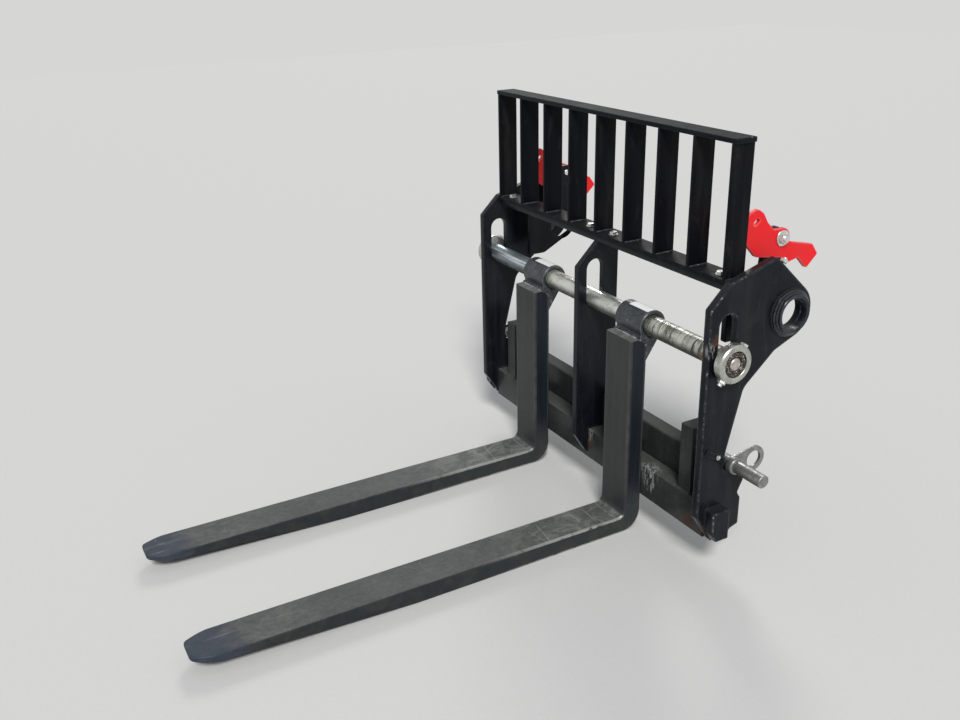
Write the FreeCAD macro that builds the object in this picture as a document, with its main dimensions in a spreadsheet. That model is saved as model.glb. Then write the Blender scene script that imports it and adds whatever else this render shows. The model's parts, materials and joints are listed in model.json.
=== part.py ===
import FreeCAD, Part
import math
import os

import Sketcher

# Floating fork carriage for a telescopic handler, millimetres.
# The origin is the axis of the coupling bores, midway between the side plates.
# +X runs along the fork shaft, the forks point to -Y and +Z is up.

doc = FreeCAD.newDocument("fork_carriage")
sheet = doc.addObject("Spreadsheet::Sheet", "sizes")
Vector = FreeCAD.Vector

SIZES = {
    # side plates, seen from the side
    "carriage_width": 1095, "plate_thick": 22, "plate_front": 248, "plate_nose_up": 48,
    "shoulder_ahead": 189, "shoulder_up": 106, "crown_ahead": 53, "crown_up": 146,
    "lobe_radius": 71, "elbow_ahead": 36, "elbow_below": 92, "hip_ahead": 127, "hip_below": 171,
    "plate_bottom": 583, "toe_chamfer_wide": 50, "toe_chamfer_high": 80,
    "lip_ahead": 102, "lip_high": 37, "lip_cut": 16, "heel_ahead": 107, "heel_top": 101,
    "heel_low": 24, "heel_cut": 25, "heel_rise": 16, "heel_run": 18,
    # coupling
    "coupler_bore_radius": 40, "boss_radius": 59, "boss_proud": 20,
    "lug_gap": 62.5, "inner_plate_thick": 15, "inner_plate_front": 122,
    "inner_lobe_radius": 63, "inner_neck_below": 83,
    # shaft in its upright slots
    "shaft_ahead": 191, "shaft_below": 84, "shaft_radius": 27, "slot_clearance": 1,
    "shaft_travel": 87, "collar_radius": 49, "collar_thick": 24, "collar_gap": 10,
    "recess_radius": 33, "recess_deep": 7, "cross_bolt_radius": 11, "cross_bolt_angle": 52,
    "cross_head_high": 5, "cross_nut_high": 14, "bolt_head_high": 9, "seat_gap": 0.2,
    # forks
    "fork_drop": 604, "fork_width": 110, "blade_thick": 50, "shank_thick": 53, "blade_length": 1200,
    "eye_behind_face": 69, "eye_radius": 41, "bush_wall": 5, "bush_sunk": 3, "bush_play": 0.05,
    "shank_top_below": 31, "heel_radius": 55, "crotch_radius": 22, "neck_ahead": 33, "neck_drop": 95,
    "taper_length": 560, "tip_thick": 17, "tip_round": 38,
    "fork_left_at": 254, "fork_right_at": 216,
    # cross members
    "rest_ahead": 206, "bar_deep": 54, "bar_high": 94,
    "beam_deep": 50, "beam_high": 188, "beam_wall": 8,
    "block_wide": 48, "block_back": 5, "block_above_pin": 72, "block_deep": 77,
    "top_plate_thick": 15, "top_plate_deep": 86, "top_plate_back": 4,
    "centre_thick": 20, "centre_rear": 114, "centre_nose_up": 14,
    # backrest
    "foot_thick": 12, "foot_deep": 67, "bar_thick": 10, "backrest_deep": 61, "backrest_high": 314,
    "side_gap": 5, "rail_thick": 12, "rail_overhang": 6, "backrest_bars": 9,
    "rest_bolt_inset": 42, "rest_bolt_inner": 53, "rest_bolt_back": 26, "rest_bolt_radius": 11,
    # lower locking pins
    "lock_ahead": 148, "lock_below": 372, "lock_radius": 17, "lock_play": 0.05, "lock_in_block": 38,
    "notch_radius": 24, "lock_boss_radius": 23, "lock_boss_thick": 20, "lock_gap": 4,
    "lock_proud": 90, "flag_thick": 8,
    "flag_reach": 64, "flag_radius": 35, "flag_hole_radius": 22,
    "keeper_thick": 4, "keeper_wide": 15, "keeper_length": 69, "keeper_angle": 31,
    "keeper_up": 46, "keeper_in": 11,
    # wear feet
    "foot_block_thick": 31, "foot_block_front": 221, "foot_block_rear": 167,
    "foot_block_low": 14, "foot_block_high": 84,
    # latches above the bosses
    "latch_thick": 12, "latch_stand": 10, "latch_rear": 18, "latch_up": 168, "latch_length": 120,
    "latch_boss_radius": 25, "latch_bolt_radius": 9, "latch_washer_radius": 20, "latch_play": 0.06,
    "latch_hole_radius": 8, "washer_gap": 0.3, "washer_thick": 3, "latch_head_radius": 14,
    "latch_head_high": 9, "latch_stem_proud": 16, "ear_radius": 23, "ear_root_ahead": 20,
}
for row, (alias, number) in enumerate(SIZES.items(), start=1):
    sheet.set("A%d" % row, alias)
    sheet.set("B%d" % row, str(number))
    sheet.setAlias("B%d" % row, alias)
doc.recompute()


class Size:
    """A number together with the expression that gives it."""

    def __init__(self, value, text):
        self.value = float(value)
        self.text = text

    def __add__(self, other):
        other = size(other)
        return Size(self.value + other.value, "(%s + %s)" % (self.text, other.text))

    def __sub__(self, other):
        other = size(other)
        return Size(self.value - other.value, "(%s - %s)" % (self.text, other.text))

    def __mul__(self, other):
        other = size(other)
        return Size(self.value * other.value, "(%s * %s)" % (self.text, other.text))

    def __truediv__(self, other):
        other = size(other)
        return Size(self.value / other.value, "(%s / %s)" % (self.text, other.text))

    def __neg__(self):
        return Size(-self.value, "(0 - %s)" % self.text)

    def __radd__(self, other):
        return size(other) + self

    def __rsub__(self, other):
        return size(other) - self

    def __rmul__(self, other):
        return size(other) * self


def size(thing):
    return thing if isinstance(thing, Size) else Size(thing, repr(float(thing)))


def cosine(angle):
    angle = size(angle)
    return Size(math.cos(math.radians(angle.value)), "cos(%s * 1 deg)" % angle.text)


def sine(angle):
    angle = size(angle)
    return Size(math.sin(math.radians(angle.value)), "sin(%s * 1 deg)" % angle.text)


def tangent_angle(centre, radius, point, side):
    """Direction from a circle's centre to where a line from a point touches it."""
    across = size(point[0]) - centre[0]
    up = size(point[1]) - centre[1]
    radius = size(radius)
    reach = math.hypot(across.value, up.value)
    value = math.degrees(math.atan2(up.value, across.value) + side * math.acos(radius.value / reach))
    text = "((atan2(%s; %s) + %d * acos(%s / hypot(%s; %s))) / 1 deg)" % (
        up.text, across.text, side, radius.text, across.text, up.text)
    return Size(value, text)


S = {alias: Size(number, "sizes." + alias) for alias, number in SIZES.items()}


def bind(thing, path, amount):
    thing.setExpression(path, size(amount).text)


def new_body(label, x=0, y=0, z=0):
    body = doc.addObject("PartDesign::Body", label)
    body.Label = label
    move(body, x, y, z)
    return body


def move(thing, x=0, y=0, z=0):
    for axis, amount in zip("xyz", (x, y, z)):
        if isinstance(amount, Size) or amount:
            bind(thing, "Placement.Base." + axis, amount)


def new_sketch(body, role, label, lift=0):
    sketch = body.newObject("Sketcher::SketchObject", label)
    plane = [item for item in body.Origin.OriginFeatures if item.Role == role][0]
    sketch.AttachmentSupport = [(plane, "")]
    sketch.MapMode = "FlatFace"
    if isinstance(lift, Size) or lift:
        bind(sketch, "AttachmentOffset.Base.z", lift)
    return sketch


def pin_point(sketch, geometry, corner, across, up, which="both"):
    """Hold one point of a sketch at its distances from the sketch's origin."""
    for name, amount, axis in (("DistanceX", across, -2), ("DistanceY", up, -1)):
        if which not in ("both", name):
            continue
        amount = size(amount)
        if abs(amount.value) < 1e-9 and not amount.text.count("sizes."):
            sketch.addConstraint(Sketcher.Constraint("PointOnObject", geometry, corner, axis))
            continue
        index = sketch.addConstraint(
            Sketcher.Constraint(name, -1, 1, geometry, corner, amount.value))
        if amount.text.count("sizes."):
            sketch.setExpression("Constraints[%d]" % index, amount.text)


def add_circle(sketch, across, up, radius):
    across, up, radius = size(across), size(up), size(radius)
    centre = Vector(across.value, up.value, 0)
    index = sketch.addGeometry(Part.Circle(centre, Vector(0, 0, 1), radius.value), False)
    pin_point(sketch, index, 3, across, up)
    rule = sketch.addConstraint(Sketcher.Constraint("Radius", index, radius.value))
    if radius.text.count("sizes."):
        sketch.setExpression("Constraints[%d]" % rule, radius.text)
    return index


def add_loop(sketch, corners, arcs=None):
    """Closed outline. arcs maps a corner to the centre of the arc that leaves it and its turn."""
    arcs = arcs or {}
    points = [(size(corner[0]), size(corner[1])) for corner in corners]
    count = len(points)
    starts, ends = [], []
    for index, (across, up) in enumerate(points):
        following = points[(index + 1) % count]
        first = Vector(across.value, up.value, 0)
        second = Vector(following[0].value, following[1].value, 0)
        if index in arcs:
            middle_across, middle_up, turn = arcs[index]
            middle = Vector(size(middle_across).value, size(middle_up).value, 0)
            if turn < 0:
                first, second = second, first
            angles = [math.atan2(p.y - middle.y, p.x - middle.x) for p in (first, second)]
            circle = Part.Circle(middle, Vector(0, 0, 1), (first - middle).Length)
            geometry = sketch.addGeometry(Part.ArcOfCircle(circle, angles[0], angles[1]), False)
            starts.append((geometry, 1 if turn > 0 else 2))
            ends.append((geometry, 2 if turn > 0 else 1))
        else:
            geometry = sketch.addGeometry(Part.LineSegment(first, second), False)
            starts.append((geometry, 1))
            ends.append((geometry, 2))
    for index in range(count):
        before = ends[index - 1]
        sketch.addConstraint(Sketcher.Constraint("Coincident", *before, *starts[index]))
    for index, (across, up) in enumerate(points):
        which = corners[index][2] if len(corners[index]) > 2 else "both"
        pin_point(sketch, *starts[index], across, up, which)
    for index, (middle_across, middle_up, turn) in arcs.items():
        pin_point(sketch, starts[index][0], 3, middle_across, middle_up)


def add_slot(sketch, across, low, high, radius):
    """Upright slot with round ends, from the centre of its low end to that of its high end."""
    across, low, high, radius = size(across), size(low), size(high), size(radius)
    add_loop(
        sketch,
        [(across + radius, low, "DistanceY"), (across + radius, high),
         (across - radius, high, "DistanceY"), (across - radius, low)],
        {1: (across, high, 1), 3: (across, low, 1)})


def pad(body, sketch, length, label="pad"):
    feature = body.newObject("PartDesign::Pad", label)
    feature.Profile = sketch
    bind(feature, "Length", length)
    sketch.Visibility = False
    return feature


def pocket(body, sketch, length, label="pocket", away=True):
    """Cut along the sketch's normal, and make sure that something was cut."""
    doc.recompute()
    before = body.Shape.Volume
    feature = body.newObject("PartDesign::Pocket", label)
    feature.Profile = sketch
    bind(feature, "Length", length)
    feature.Reversed = away
    sketch.Visibility = False
    doc.recompute()
    if body.Shape.Volume > before - 1e-3:
        raise RuntimeError("%s cuts nothing in %s" % (label, body.Label))
    return feature


half_width = S["carriage_width"] / 2
plate_inner = half_width - S["plate_thick"]
shaft_y = -S["shaft_ahead"]
shaft_z = -S["shaft_below"]
slot_radius = S["shaft_radius"] + S["slot_clearance"]
slot_top = shaft_z + S["shaft_travel"]
floor_z = shaft_z - S["fork_drop"]
fork_face = shaft_y - S["eye_behind_face"]
shank_rear = fork_face + S["shank_thick"]
rest_face = -S["rest_ahead"]
beam_face = rest_face + S["bar_deep"]
bar_bottom = -S["plate_bottom"]
bar_top = bar_bottom + S["bar_high"]
beam_top = bar_bottom + S["beam_high"]
lock_y = -S["lock_ahead"]
lock_z = -S["lock_below"]
top_plate_under = S["shoulder_up"] - S["foot_thick"] - S["top_plate_thick"]
foot_under = top_plate_under + S["top_plate_thick"]
backrest_under = foot_under + S["foot_thick"]
backrest_front = shaft_y
backrest_half = plate_inner - S["side_gap"]
lug_face = plate_inner - S["lug_gap"]
toe_slope = S["toe_chamfer_high"] / S["toe_chamfer_wide"]
toe_top = -S["plate_bottom"] + S["toe_chamfer_high"]
nodes = []


def keep(thing, label):
    thing.Label = label
    nodes.append((thing, label))


# Side plates with the shaft slot, the coupling bore and the hook for the locking pin.
def side_plate_outline(sketch):
    nose = (-S["plate_front"], S["plate_nose_up"])
    crown = (-S["crown_ahead"], S["crown_up"])
    elbow = (-S["elbow_ahead"], -S["elbow_below"])
    top_touch = tangent_angle((0, 0), S["lobe_radius"], crown, -1)
    low_touch = tangent_angle((0, 0), S["lobe_radius"], elbow, 1)
    lip_top = lock_z - S["notch_radius"]
    lip_low = lip_top - S["lip_high"]
    low = -S["plate_bottom"]
    corners = [
        (-S["plate_front"], -S["plate_bottom"] + S["toe_chamfer_high"]),
        nose,
        (-S["shoulder_ahead"], S["shoulder_up"]),
        crown,
        (S["lobe_radius"] * cosine(top_touch), S["lobe_radius"] * sine(top_touch)),
        (S["lobe_radius"] * cosine(low_touch), S["lobe_radius"] * sine(low_touch), "DistanceX"),
        elbow,
        (-S["hip_ahead"], -S["hip_below"]),
        (lock_y - S["notch_radius"], lock_z),
        (lock_y, lip_top, "DistanceX"),
        (-S["lip_ahead"], lip_top),
        (-S["lip_ahead"], lip_low),
        (-S["lip_ahead"] - S["lip_cut"], lip_low - S["lip_cut"] * 2),
        (-S["heel_ahead"], low + S["heel_top"]),
        (-S["heel_ahead"], low + S["heel_low"]),
        (-S["heel_ahead"] - S["heel_cut"], low + S["heel_rise"]),
        (-S["heel_ahead"] - S["heel_cut"] - S["heel_run"], low),
        (-S["plate_front"] + S["toe_chamfer_wide"], low),
    ]
    add_loop(sketch, corners, {4: (0, 0, -1), 8: (lock_y, lock_z, 1)})


def make_side_plate(label, x):
    body = new_body(label, x)
    outline = new_sketch(body, "YZ_Plane", label + "_outline")
    side_plate_outline(outline)
    pad(body, outline, S["plate_thick"])
    slot = new_sketch(body, "YZ_Plane", label + "_slot")
    add_slot(slot, shaft_y, shaft_z, slot_top, slot_radius)
    pocket(body, slot, S["plate_thick"], label + "_slot_cut")
    bore = new_sketch(body, "YZ_Plane", label + "_bore")
    add_circle(bore, 0, 0, S["coupler_bore_radius"])
    pocket(body, bore, S["plate_thick"], label + "_bore_cut")
    keep(body, label)


make_side_plate("side_plate_left", -half_width)
make_side_plate("side_plate_right", plate_inner)


# Thick rings round the coupling bores, welded to the outer faces.
def make_ring(label, x, y, z, outer, inner, length):
    body = new_body(label, x, y, z)
    face = new_sketch(body, "YZ_Plane", label + "_face")
    add_circle(face, 0, 0, outer)
    add_circle(face, 0, 0, inner)
    pad(body, face, length)
    return body


keep(make_ring("coupler_boss_left", -half_width - S["boss_proud"], 0, 0, S["boss_radius"],
               S["coupler_bore_radius"], S["boss_proud"]), "coupler_boss_left")
keep(make_ring("coupler_boss_right", half_width, 0, 0, S["boss_radius"],
               S["coupler_bore_radius"], S["boss_proud"]), "coupler_boss_right")


# Inner coupling plates, which hang from the top plate and carry the latch bolts.
def make_inner_plate(label, x):
    body = new_body(label, x)
    outline = new_sketch(body, "YZ_Plane", label + "_outline")
    radius = S["inner_lobe_radius"]
    ear = (S["latch_rear"], S["latch_up"])
    low = (-S["inner_plate_front"], -S["inner_neck_below"])
    low_touch = tangent_angle((0, 0), radius, low, 1)
    ear_root = (-S["ear_root_ahead"], foot_under)
    ear_touch = tangent_angle(ear, S["ear_radius"], ear_root, -1)
    ear_rear = (ear[0] + S["ear_radius"] * cosine(0), ear[1])
    corners = [
        (-S["inner_plate_front"], top_plate_under),
        low,
        (radius * cosine(low_touch), radius * sine(low_touch)),
        (radius * cosine(20), radius * sine(20), "DistanceX"),
        ear_rear,
        (ear[0] + S["ear_radius"] * cosine(ear_touch),
         ear[1] + S["ear_radius"] * sine(ear_touch), "DistanceX"),
        ear_root,
        (-S["ear_root_ahead"], top_plate_under),
    ]
    add_loop(sketch=outline, corners=corners, arcs={2: (0, 0, 1), 4: (ear[0], ear[1], 1)})
    pad(body, outline, S["inner_plate_thick"])
    bore = new_sketch(body, "YZ_Plane", label + "_bores")
    add_circle(bore, 0, 0, S["coupler_bore_radius"])
    add_circle(bore, ear[0], ear[1], S["latch_bolt_radius"])
    pocket(body, bore, S["inner_plate_thick"], label + "_bores_cut")
    keep(body, label)


make_inner_plate("inner_plate_left", -lug_face)
make_inner_plate("inner_plate_right", lug_face - S["inner_plate_thick"])

# Centre plate, which carries the shaft between the two forks.
centre = new_body("centre_plate", -S["centre_thick"] / 2)
outline = new_sketch(centre, "YZ_Plane", "centre_plate_outline")
nose_rise = top_plate_under - S["centre_nose_up"]
add_loop(outline, [
    (-S["plate_front"], toe_top),
    (-S["plate_front"], S["centre_nose_up"]),
    (-S["plate_front"] + nose_rise, top_plate_under),
    (-S["centre_rear"], top_plate_under),
    (-S["centre_rear"], beam_top),
    (beam_face, beam_top),
    (beam_face, bar_top),
    (rest_face, bar_top),
    (rest_face, toe_top - (S["plate_front"] - S["rest_ahead"]) * toe_slope),
])
pad(centre, outline, S["centre_thick"])
slot = new_sketch(centre, "YZ_Plane", "centre_plate_slot")
add_slot(slot, shaft_y, shaft_z, slot_top, slot_radius)
pocket(centre, slot, S["centre_thick"], "centre_plate_slot_cut")
keep(centre, "centre_plate")


# Cross members between the side plates.
def make_box(label, x, y, z, length, depth, height):
    box = doc.addObject("Part::Box", label)
    bind(box, "Length", length)
    bind(box, "Width", depth)
    bind(box, "Height", height)
    move(box, x, y, z)
    return box


span = plate_inner * 2
keep(make_box("rest_bar", -plate_inner, rest_face, bar_bottom, span, S["bar_deep"], S["bar_high"]),
     "rest_bar")

beam = new_body("cross_beam", -plate_inner)
section = new_sketch(beam, "YZ_Plane", "cross_beam_section")
wall = S["beam_wall"]
beam_rear = beam_face + S["beam_deep"]
add_loop(section, [(beam_face, bar_bottom), (beam_rear, bar_bottom), (beam_rear, beam_top),
                   (beam_face, beam_top)])
add_loop(section, [(beam_face + wall, bar_bottom + wall), (beam_rear - wall, bar_bottom + wall),
                   (beam_rear - wall, beam_top - wall), (beam_face + wall, beam_top - wall)])
pad(beam, section, span)
keep(beam, "cross_beam")

keep(make_box("top_plate", -plate_inner, backrest_front + S["top_plate_back"], top_plate_under,
              span, S["top_plate_deep"], S["top_plate_thick"]), "top_plate")


# Guide blocks beside the side plates, bored for the locking pins.
def make_block(label, x):
    body = new_body(label, x)
    outline = new_sketch(body, "YZ_Plane", label + "_outline")
    top = lock_z + S["block_above_pin"]
    front = rest_face + S["block_back"]
    rear = front + S["block_deep"]
    add_loop(outline, [(front, bar_top), (beam_face, bar_top), (beam_face, beam_top),
                       (rear, beam_top), (rear, top), (front, top)])
    pad(body, outline, S["block_wide"])
    bore = new_sketch(body, "YZ_Plane", label + "_bore")
    add_circle(bore, lock_y, lock_z, S["lock_radius"] + S["lock_play"])
    pocket(body, bore, S["block_wide"], label + "_bore_cut")
    keep(body, label)


make_block("guide_block_left", -lug_face)
make_block("guide_block_right", lug_face - S["block_wide"])


# Wear feet on the outer faces of the side plates.
def make_foot(label, x):
    body = new_body(label, x)
    outline = new_sketch(body, "YZ_Plane", label + "_outline")
    low = -S["plate_bottom"] + S["foot_block_low"]
    top = low + S["foot_block_high"]
    front = -S["foot_block_front"]
    rear = -S["foot_block_rear"]
    toe_low = -S["plate_front"] + (toe_top - low) / toe_slope
    toe_high = toe_top - (S["plate_front"] - S["foot_block_front"]) * toe_slope
    add_loop(outline, [(toe_low, low), (rear, low), (rear, top), (front, top), (front, toe_high)])
    pad(body, outline, S["foot_block_thick"])
    keep(body, label)


make_foot("wear_foot_left", -half_width - S["foot_block_thick"])
make_foot("wear_foot_right", half_width)

# Load backrest: foot plate, upright flats, top rail and its bolts.
backrest_foot = new_body("backrest_foot", 0, 0, foot_under)
plan = new_sketch(backrest_foot, "XY_Plane", "backrest_foot_plan")
add_loop(plan, [(-plate_inner, backrest_front), (plate_inner, backrest_front),
                (plate_inner, backrest_front + S["foot_deep"]),
                (-plate_inner, backrest_front + S["foot_deep"])])
pad(backrest_foot, plan, S["foot_thick"])
keep(backrest_foot, "backrest_foot")

bar_count = int(SIZES["backrest_bars"])
pitch = (backrest_half * 2 - S["bar_thick"]) / (S["backrest_bars"] - 1)
for index in range(bar_count):
    label = "backrest_bar_%d" % (index + 1)
    keep(make_box(label, -backrest_half + pitch * index, backrest_front, backrest_under,
                  S["bar_thick"], S["backrest_deep"], S["backrest_high"]), label)
rail_half = backrest_half + S["rail_overhang"]
keep(make_box("backrest_rail", -rail_half, backrest_front, backrest_under + S["backrest_high"],
              rail_half * 2, S["backrest_deep"], S["rail_thick"]), "backrest_rail")


def make_hex_prism(label, x, y, z, radius, height):
    prism = doc.addObject("Part::Prism", label)
    prism.Polygon = 6
    bind(prism, "Circumradius", radius)
    bind(prism, "Height", height)
    move(prism, x, y, z)
    return prism


bolt_heads = []
outer_bolt = backrest_half - S["rest_bolt_inset"]
inner_bolt = S["rest_bolt_inner"]
for number, across in enumerate((-outer_bolt, -inner_bolt, inner_bolt, outer_bolt), start=1):
    bolt_heads.append(make_hex_prism("rest_bolt_%d" % number, across,
                                     backrest_front + S["rest_bolt_back"], backrest_under,
                                     S["rest_bolt_radius"], S["bolt_head_high"]))
bolts = doc.addObject("Part::Compound", "backrest_bolts")
bolts.Links = bolt_heads
keep(bolts, "backrest_bolts")

# Fork shaft with its end collars and their cross bolts.
collar_x = half_width + S["collar_gap"]
shaft_end = collar_x + S["collar_thick"] - S["recess_deep"]
shaft = new_body("fork_shaft", -shaft_end, shaft_y, shaft_z)
section = new_sketch(shaft, "YZ_Plane", "fork_shaft_section")
add_circle(section, 0, 0, S["shaft_radius"])
pad(shaft, section, shaft_end * 2)
keep(shaft, "fork_shaft")


def make_collar(label, x, recess_x):
    body = make_ring(label, x, shaft_y, shaft_z, S["collar_radius"], S["shaft_radius"],
                     S["collar_thick"])
    face = new_sketch(body, "YZ_Plane", label + "_recess", recess_x)
    add_circle(face, 0, 0, S["recess_radius"])
    pocket(body, face, S["recess_deep"], label + "_recess_cut")
    keep(body, label)


make_collar("shaft_collar_left", -collar_x - S["collar_thick"], 0)
make_collar("shaft_collar_right", collar_x, S["collar_thick"] - S["recess_deep"])


def make_cross_bolt(label, x):
    """Bolt heads that stand out of the collar's rim, at each end of its cross bolt."""
    heads = []
    for number, (turn, high) in enumerate(((0, S["cross_head_high"]), (180, S["cross_nut_high"]))):
        head = doc.addObject("Part::Prism", "%s_end_%d" % (label, number + 1))
        head.Polygon = 6
        bind(head, "Circumradius", S["cross_bolt_radius"])
        bind(head, "Height", high)
        angle = S["cross_bolt_angle"] + turn
        reach = S["collar_radius"] + S["seat_gap"]
        move(head, x, shaft_y + reach * cosine(angle), shaft_z + reach * sine(angle))
        head.Placement.Rotation = FreeCAD.Rotation(Vector(1, 0, 0), 0)
        bind(head, "Placement.Rotation.Angle", angle - 90)
        head.Placement.Rotation.Axis = Vector(1, 0, 0)
        heads.append(head)
    bolt = doc.addObject("Part::Compound", label)
    bolt.Links = heads
    return bolt


# Forks: one forging each, from the bored eye down the shank and out along the blade.
def make_fork(label, x):
    body = new_body(label, x, shaft_y, shaft_z)
    profile = new_sketch(body, "YZ_Plane", label + "_profile")
    face = -S["eye_behind_face"]
    rear = face + S["shank_thick"]
    sole = -S["fork_drop"]
    tread = sole + S["blade_thick"]
    tip = face - S["blade_length"]
    crotch = S["crotch_radius"]
    heel = S["heel_radius"]
    top = -S["shank_top_below"]
    neck = face + S["neck_ahead"]
    neck_root = (rear, -S["neck_drop"])
    touch = tangent_angle((0, 0), S["eye_radius"], neck_root, 1)
    add_loop(profile, [
        (face, top),
        (face, tread + crotch),
        (face - crotch, tread, "DistanceX"),
        (tip, tread),
        (tip, tread - S["tip_thick"]),
        (tip + S["taper_length"], sole),
        (rear - heel, sole),
        (rear, sole + heel, "DistanceY"),
        neck_root,
        (S["eye_radius"] * cosine(touch), S["eye_radius"] * sine(touch)),
        (0, 0),
        (neck, top / 2),
        (neck, top),
    ], {1: (face - crotch, tread + crotch, -1), 6: (rear - heel, sole + heel, 1)})
    pad(body, profile, S["fork_width"])
    eye = new_sketch(body, "YZ_Plane", label + "_eye")
    add_circle(eye, 0, 0, S["eye_radius"])
    pad(body, eye, S["fork_width"], label + "_eye_pad")
    bore = new_sketch(body, "YZ_Plane", label + "_bore")
    add_circle(bore, 0, 0, S["shaft_radius"] + S["bush_play"] + S["bush_wall"] + S["bush_play"])
    pocket(body, bore, S["fork_width"], label + "_bore_cut")
    plan = new_sketch(body, "XY_Plane", label + "_tip_corners", sole)
    bend = S["tip_round"]
    wide = S["fork_width"]
    add_loop(plan, [(0, tip + bend, "DistanceY"), (0, tip), (bend, tip)],
             {2: (bend, tip + bend, -1)})
    add_loop(plan, [(wide, tip), (wide, tip + bend), (wide - bend, tip, "DistanceX")],
             {1: (wide - bend, tip + bend, -1)})
    pocket(body, plan, S["blade_thick"], label + "_tip_cut")
    keep(body, label)


left_x = -S["fork_left_at"] - S["fork_width"] / 2
right_x = S["fork_right_at"] - S["fork_width"] / 2
make_fork("fork_left", left_x)
make_fork("fork_right", right_x)
for label, x in (("fork_bush_left", left_x), ("fork_bush_right", right_x)):
    inner = S["shaft_radius"] + S["bush_play"]
    keep(make_ring(label, x + S["bush_sunk"], shaft_y, shaft_z, inner + S["bush_wall"], inner,
                   S["fork_width"] - S["bush_sunk"] * 2), label)


# Locking pins with a flag that has a finger hole, and the keepers beside them.
def make_lock_pin(label, side):
    flag_x = half_width + S["lock_gap"]
    inner_end = flag_x - lug_face + S["lock_in_block"]
    length = inner_end + S["lock_boss_thick"] + S["lock_proud"]
    start = -flag_x - S["lock_boss_thick"] - S["lock_proud"] if side < 0 else flag_x - inner_end
    body = new_body(label, start, lock_y, lock_z)
    pin = new_sketch(body, "YZ_Plane", label + "_pin")
    add_circle(pin, 0, 0, S["lock_radius"])
    pad(body, pin, length)
    boss_at = S["lock_proud"] if side < 0 else inner_end
    boss = new_sketch(body, "YZ_Plane", label + "_boss", boss_at)
    add_circle(boss, 0, 0, S["lock_boss_radius"])
    pad(body, boss, S["lock_boss_thick"], label + "_boss_pad")
    flag_at = boss_at + (S["lock_boss_thick"] - S["flag_thick"] if side < 0 else 0)
    flag = new_sketch(body, "YZ_Plane", label + "_flag", flag_at)
    reach = S["flag_reach"]
    lean = (S["flag_radius"] - S["lock_boss_radius"]) / reach
    tilt = Size(math.degrees(math.asin(lean.value)), "(asin(%s) / 1 deg)" % lean.text)
    add_loop(flag, [
        (-S["lock_boss_radius"] * sine(tilt), S["lock_boss_radius"] * cosine(tilt)),
        (-S["lock_boss_radius"] * sine(tilt), -S["lock_boss_radius"] * cosine(tilt), "DistanceY"),
        (reach - S["flag_radius"] * sine(tilt), -S["flag_radius"] * cosine(tilt)),
        (reach - S["flag_radius"] * sine(tilt), S["flag_radius"] * cosine(tilt), "DistanceY"),
    ], {0: (0, 0, 1), 2: (reach, 0, 1)})
    pad(body, flag, S["flag_thick"], label + "_flag_pad")
    hole = new_sketch(body, "YZ_Plane", label + "_hole", flag_at)
    add_circle(hole, reach, 0, S["flag_hole_radius"])
    pocket(body, hole, S["flag_thick"], label + "_hole_cut")
    keep(body, label)


make_lock_pin("lock_pin_left", -1)
make_lock_pin("lock_pin_right", 1)


def make_keeper(label, x):
    strip = make_box(label, x, -S["plate_front"] + S["keeper_in"], lock_z + S["keeper_up"],
                     S["keeper_thick"], S["keeper_length"], S["keeper_wide"])
    strip.Placement.Rotation = FreeCAD.Rotation(Vector(1, 0, 0), -SIZES["keeper_angle"])
    keep(strip, label)


make_keeper("pin_keeper_left", -half_width - S["keeper_thick"])
make_keeper("pin_keeper_right", half_width)


# Latches above the coupling bosses, and the bolts that they turn on.
def make_latch(label, x):
    body = new_body(label, x, S["latch_rear"], S["latch_up"])
    outline = new_sketch(body, "YZ_Plane", label + "_outline")
    unit = S["latch_length"] / 120
    handle = [(-51, 46), (-66, 68), (-82, 79), (-101, 76), (-115, 60), (-120, 34), (-118, 8),
              (-104, -16), (-81, -36)]
    hook = [(5, -50), (21, -67), (60, -59), (92, -92), (127, -59), (106, -31), (38, -16)]
    corners = [(unit * across, unit * up) for across, up in handle + hook]
    boss = S["latch_boss_radius"]
    corners.append((boss * cosine(20), -boss * sine(20)))
    corners.append((-boss * sine(20), boss * cosine(20), "DistanceX"))
    add_loop(outline, corners, {len(corners) - 2: (0, 0, 1)})
    pad(body, outline, S["latch_thick"])
    bore = new_sketch(body, "YZ_Plane", label + "_bores")
    add_circle(bore, 0, 0, S["latch_bolt_radius"] + S["latch_play"])
    add_circle(bore, unit * -87, unit * 51, S["latch_hole_radius"])
    pocket(body, bore, S["latch_thick"], label + "_bores_cut")
    keep(body, label)


latch_face = lug_face + S["latch_stand"]
make_latch("latch_left", -latch_face - S["latch_thick"])
make_latch("latch_right", latch_face)


def make_latch_bolt(label, side):
    """Spacer against the inner plate, stem through the latch, washer and head outside it."""
    outer_face = latch_face + S["latch_thick"]
    gap = S["washer_gap"]
    seat = outer_face + gap + S["washer_thick"]
    pieces = [
        (S["latch_bolt_radius"], lug_face - S["inner_plate_thick"],
         outer_face + S["latch_stem_proud"]),
        (S["latch_washer_radius"], lug_face, latch_face - gap),
        (S["latch_washer_radius"], outer_face + gap, seat),
        (S["latch_head_radius"], seat, seat + S["latch_head_high"]),
    ]
    body = new_body(label, 0, S["latch_rear"], S["latch_up"])
    for number, (radius, low, high) in enumerate(pieces, start=1):
        at = low if side > 0 else -high
        face = new_sketch(body, "YZ_Plane", "%s_face_%d" % (label, number), at)
        add_circle(face, 0, 0, radius)
        pad(body, face, high - low, "%s_pad_%d" % (label, number))
    keep(body, label)


make_latch_bolt("latch_bolt_left", -1)
make_latch_bolt("latch_bolt_right", 1)

doc.recompute()
keep(make_cross_bolt("collar_bolt_left", -collar_x - S["collar_thick"] / 2), "collar_bolt_left")
keep(make_cross_bolt("collar_bolt_right", collar_x + S["collar_thick"] / 2), "collar_bolt_right")
doc.recompute()

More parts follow.
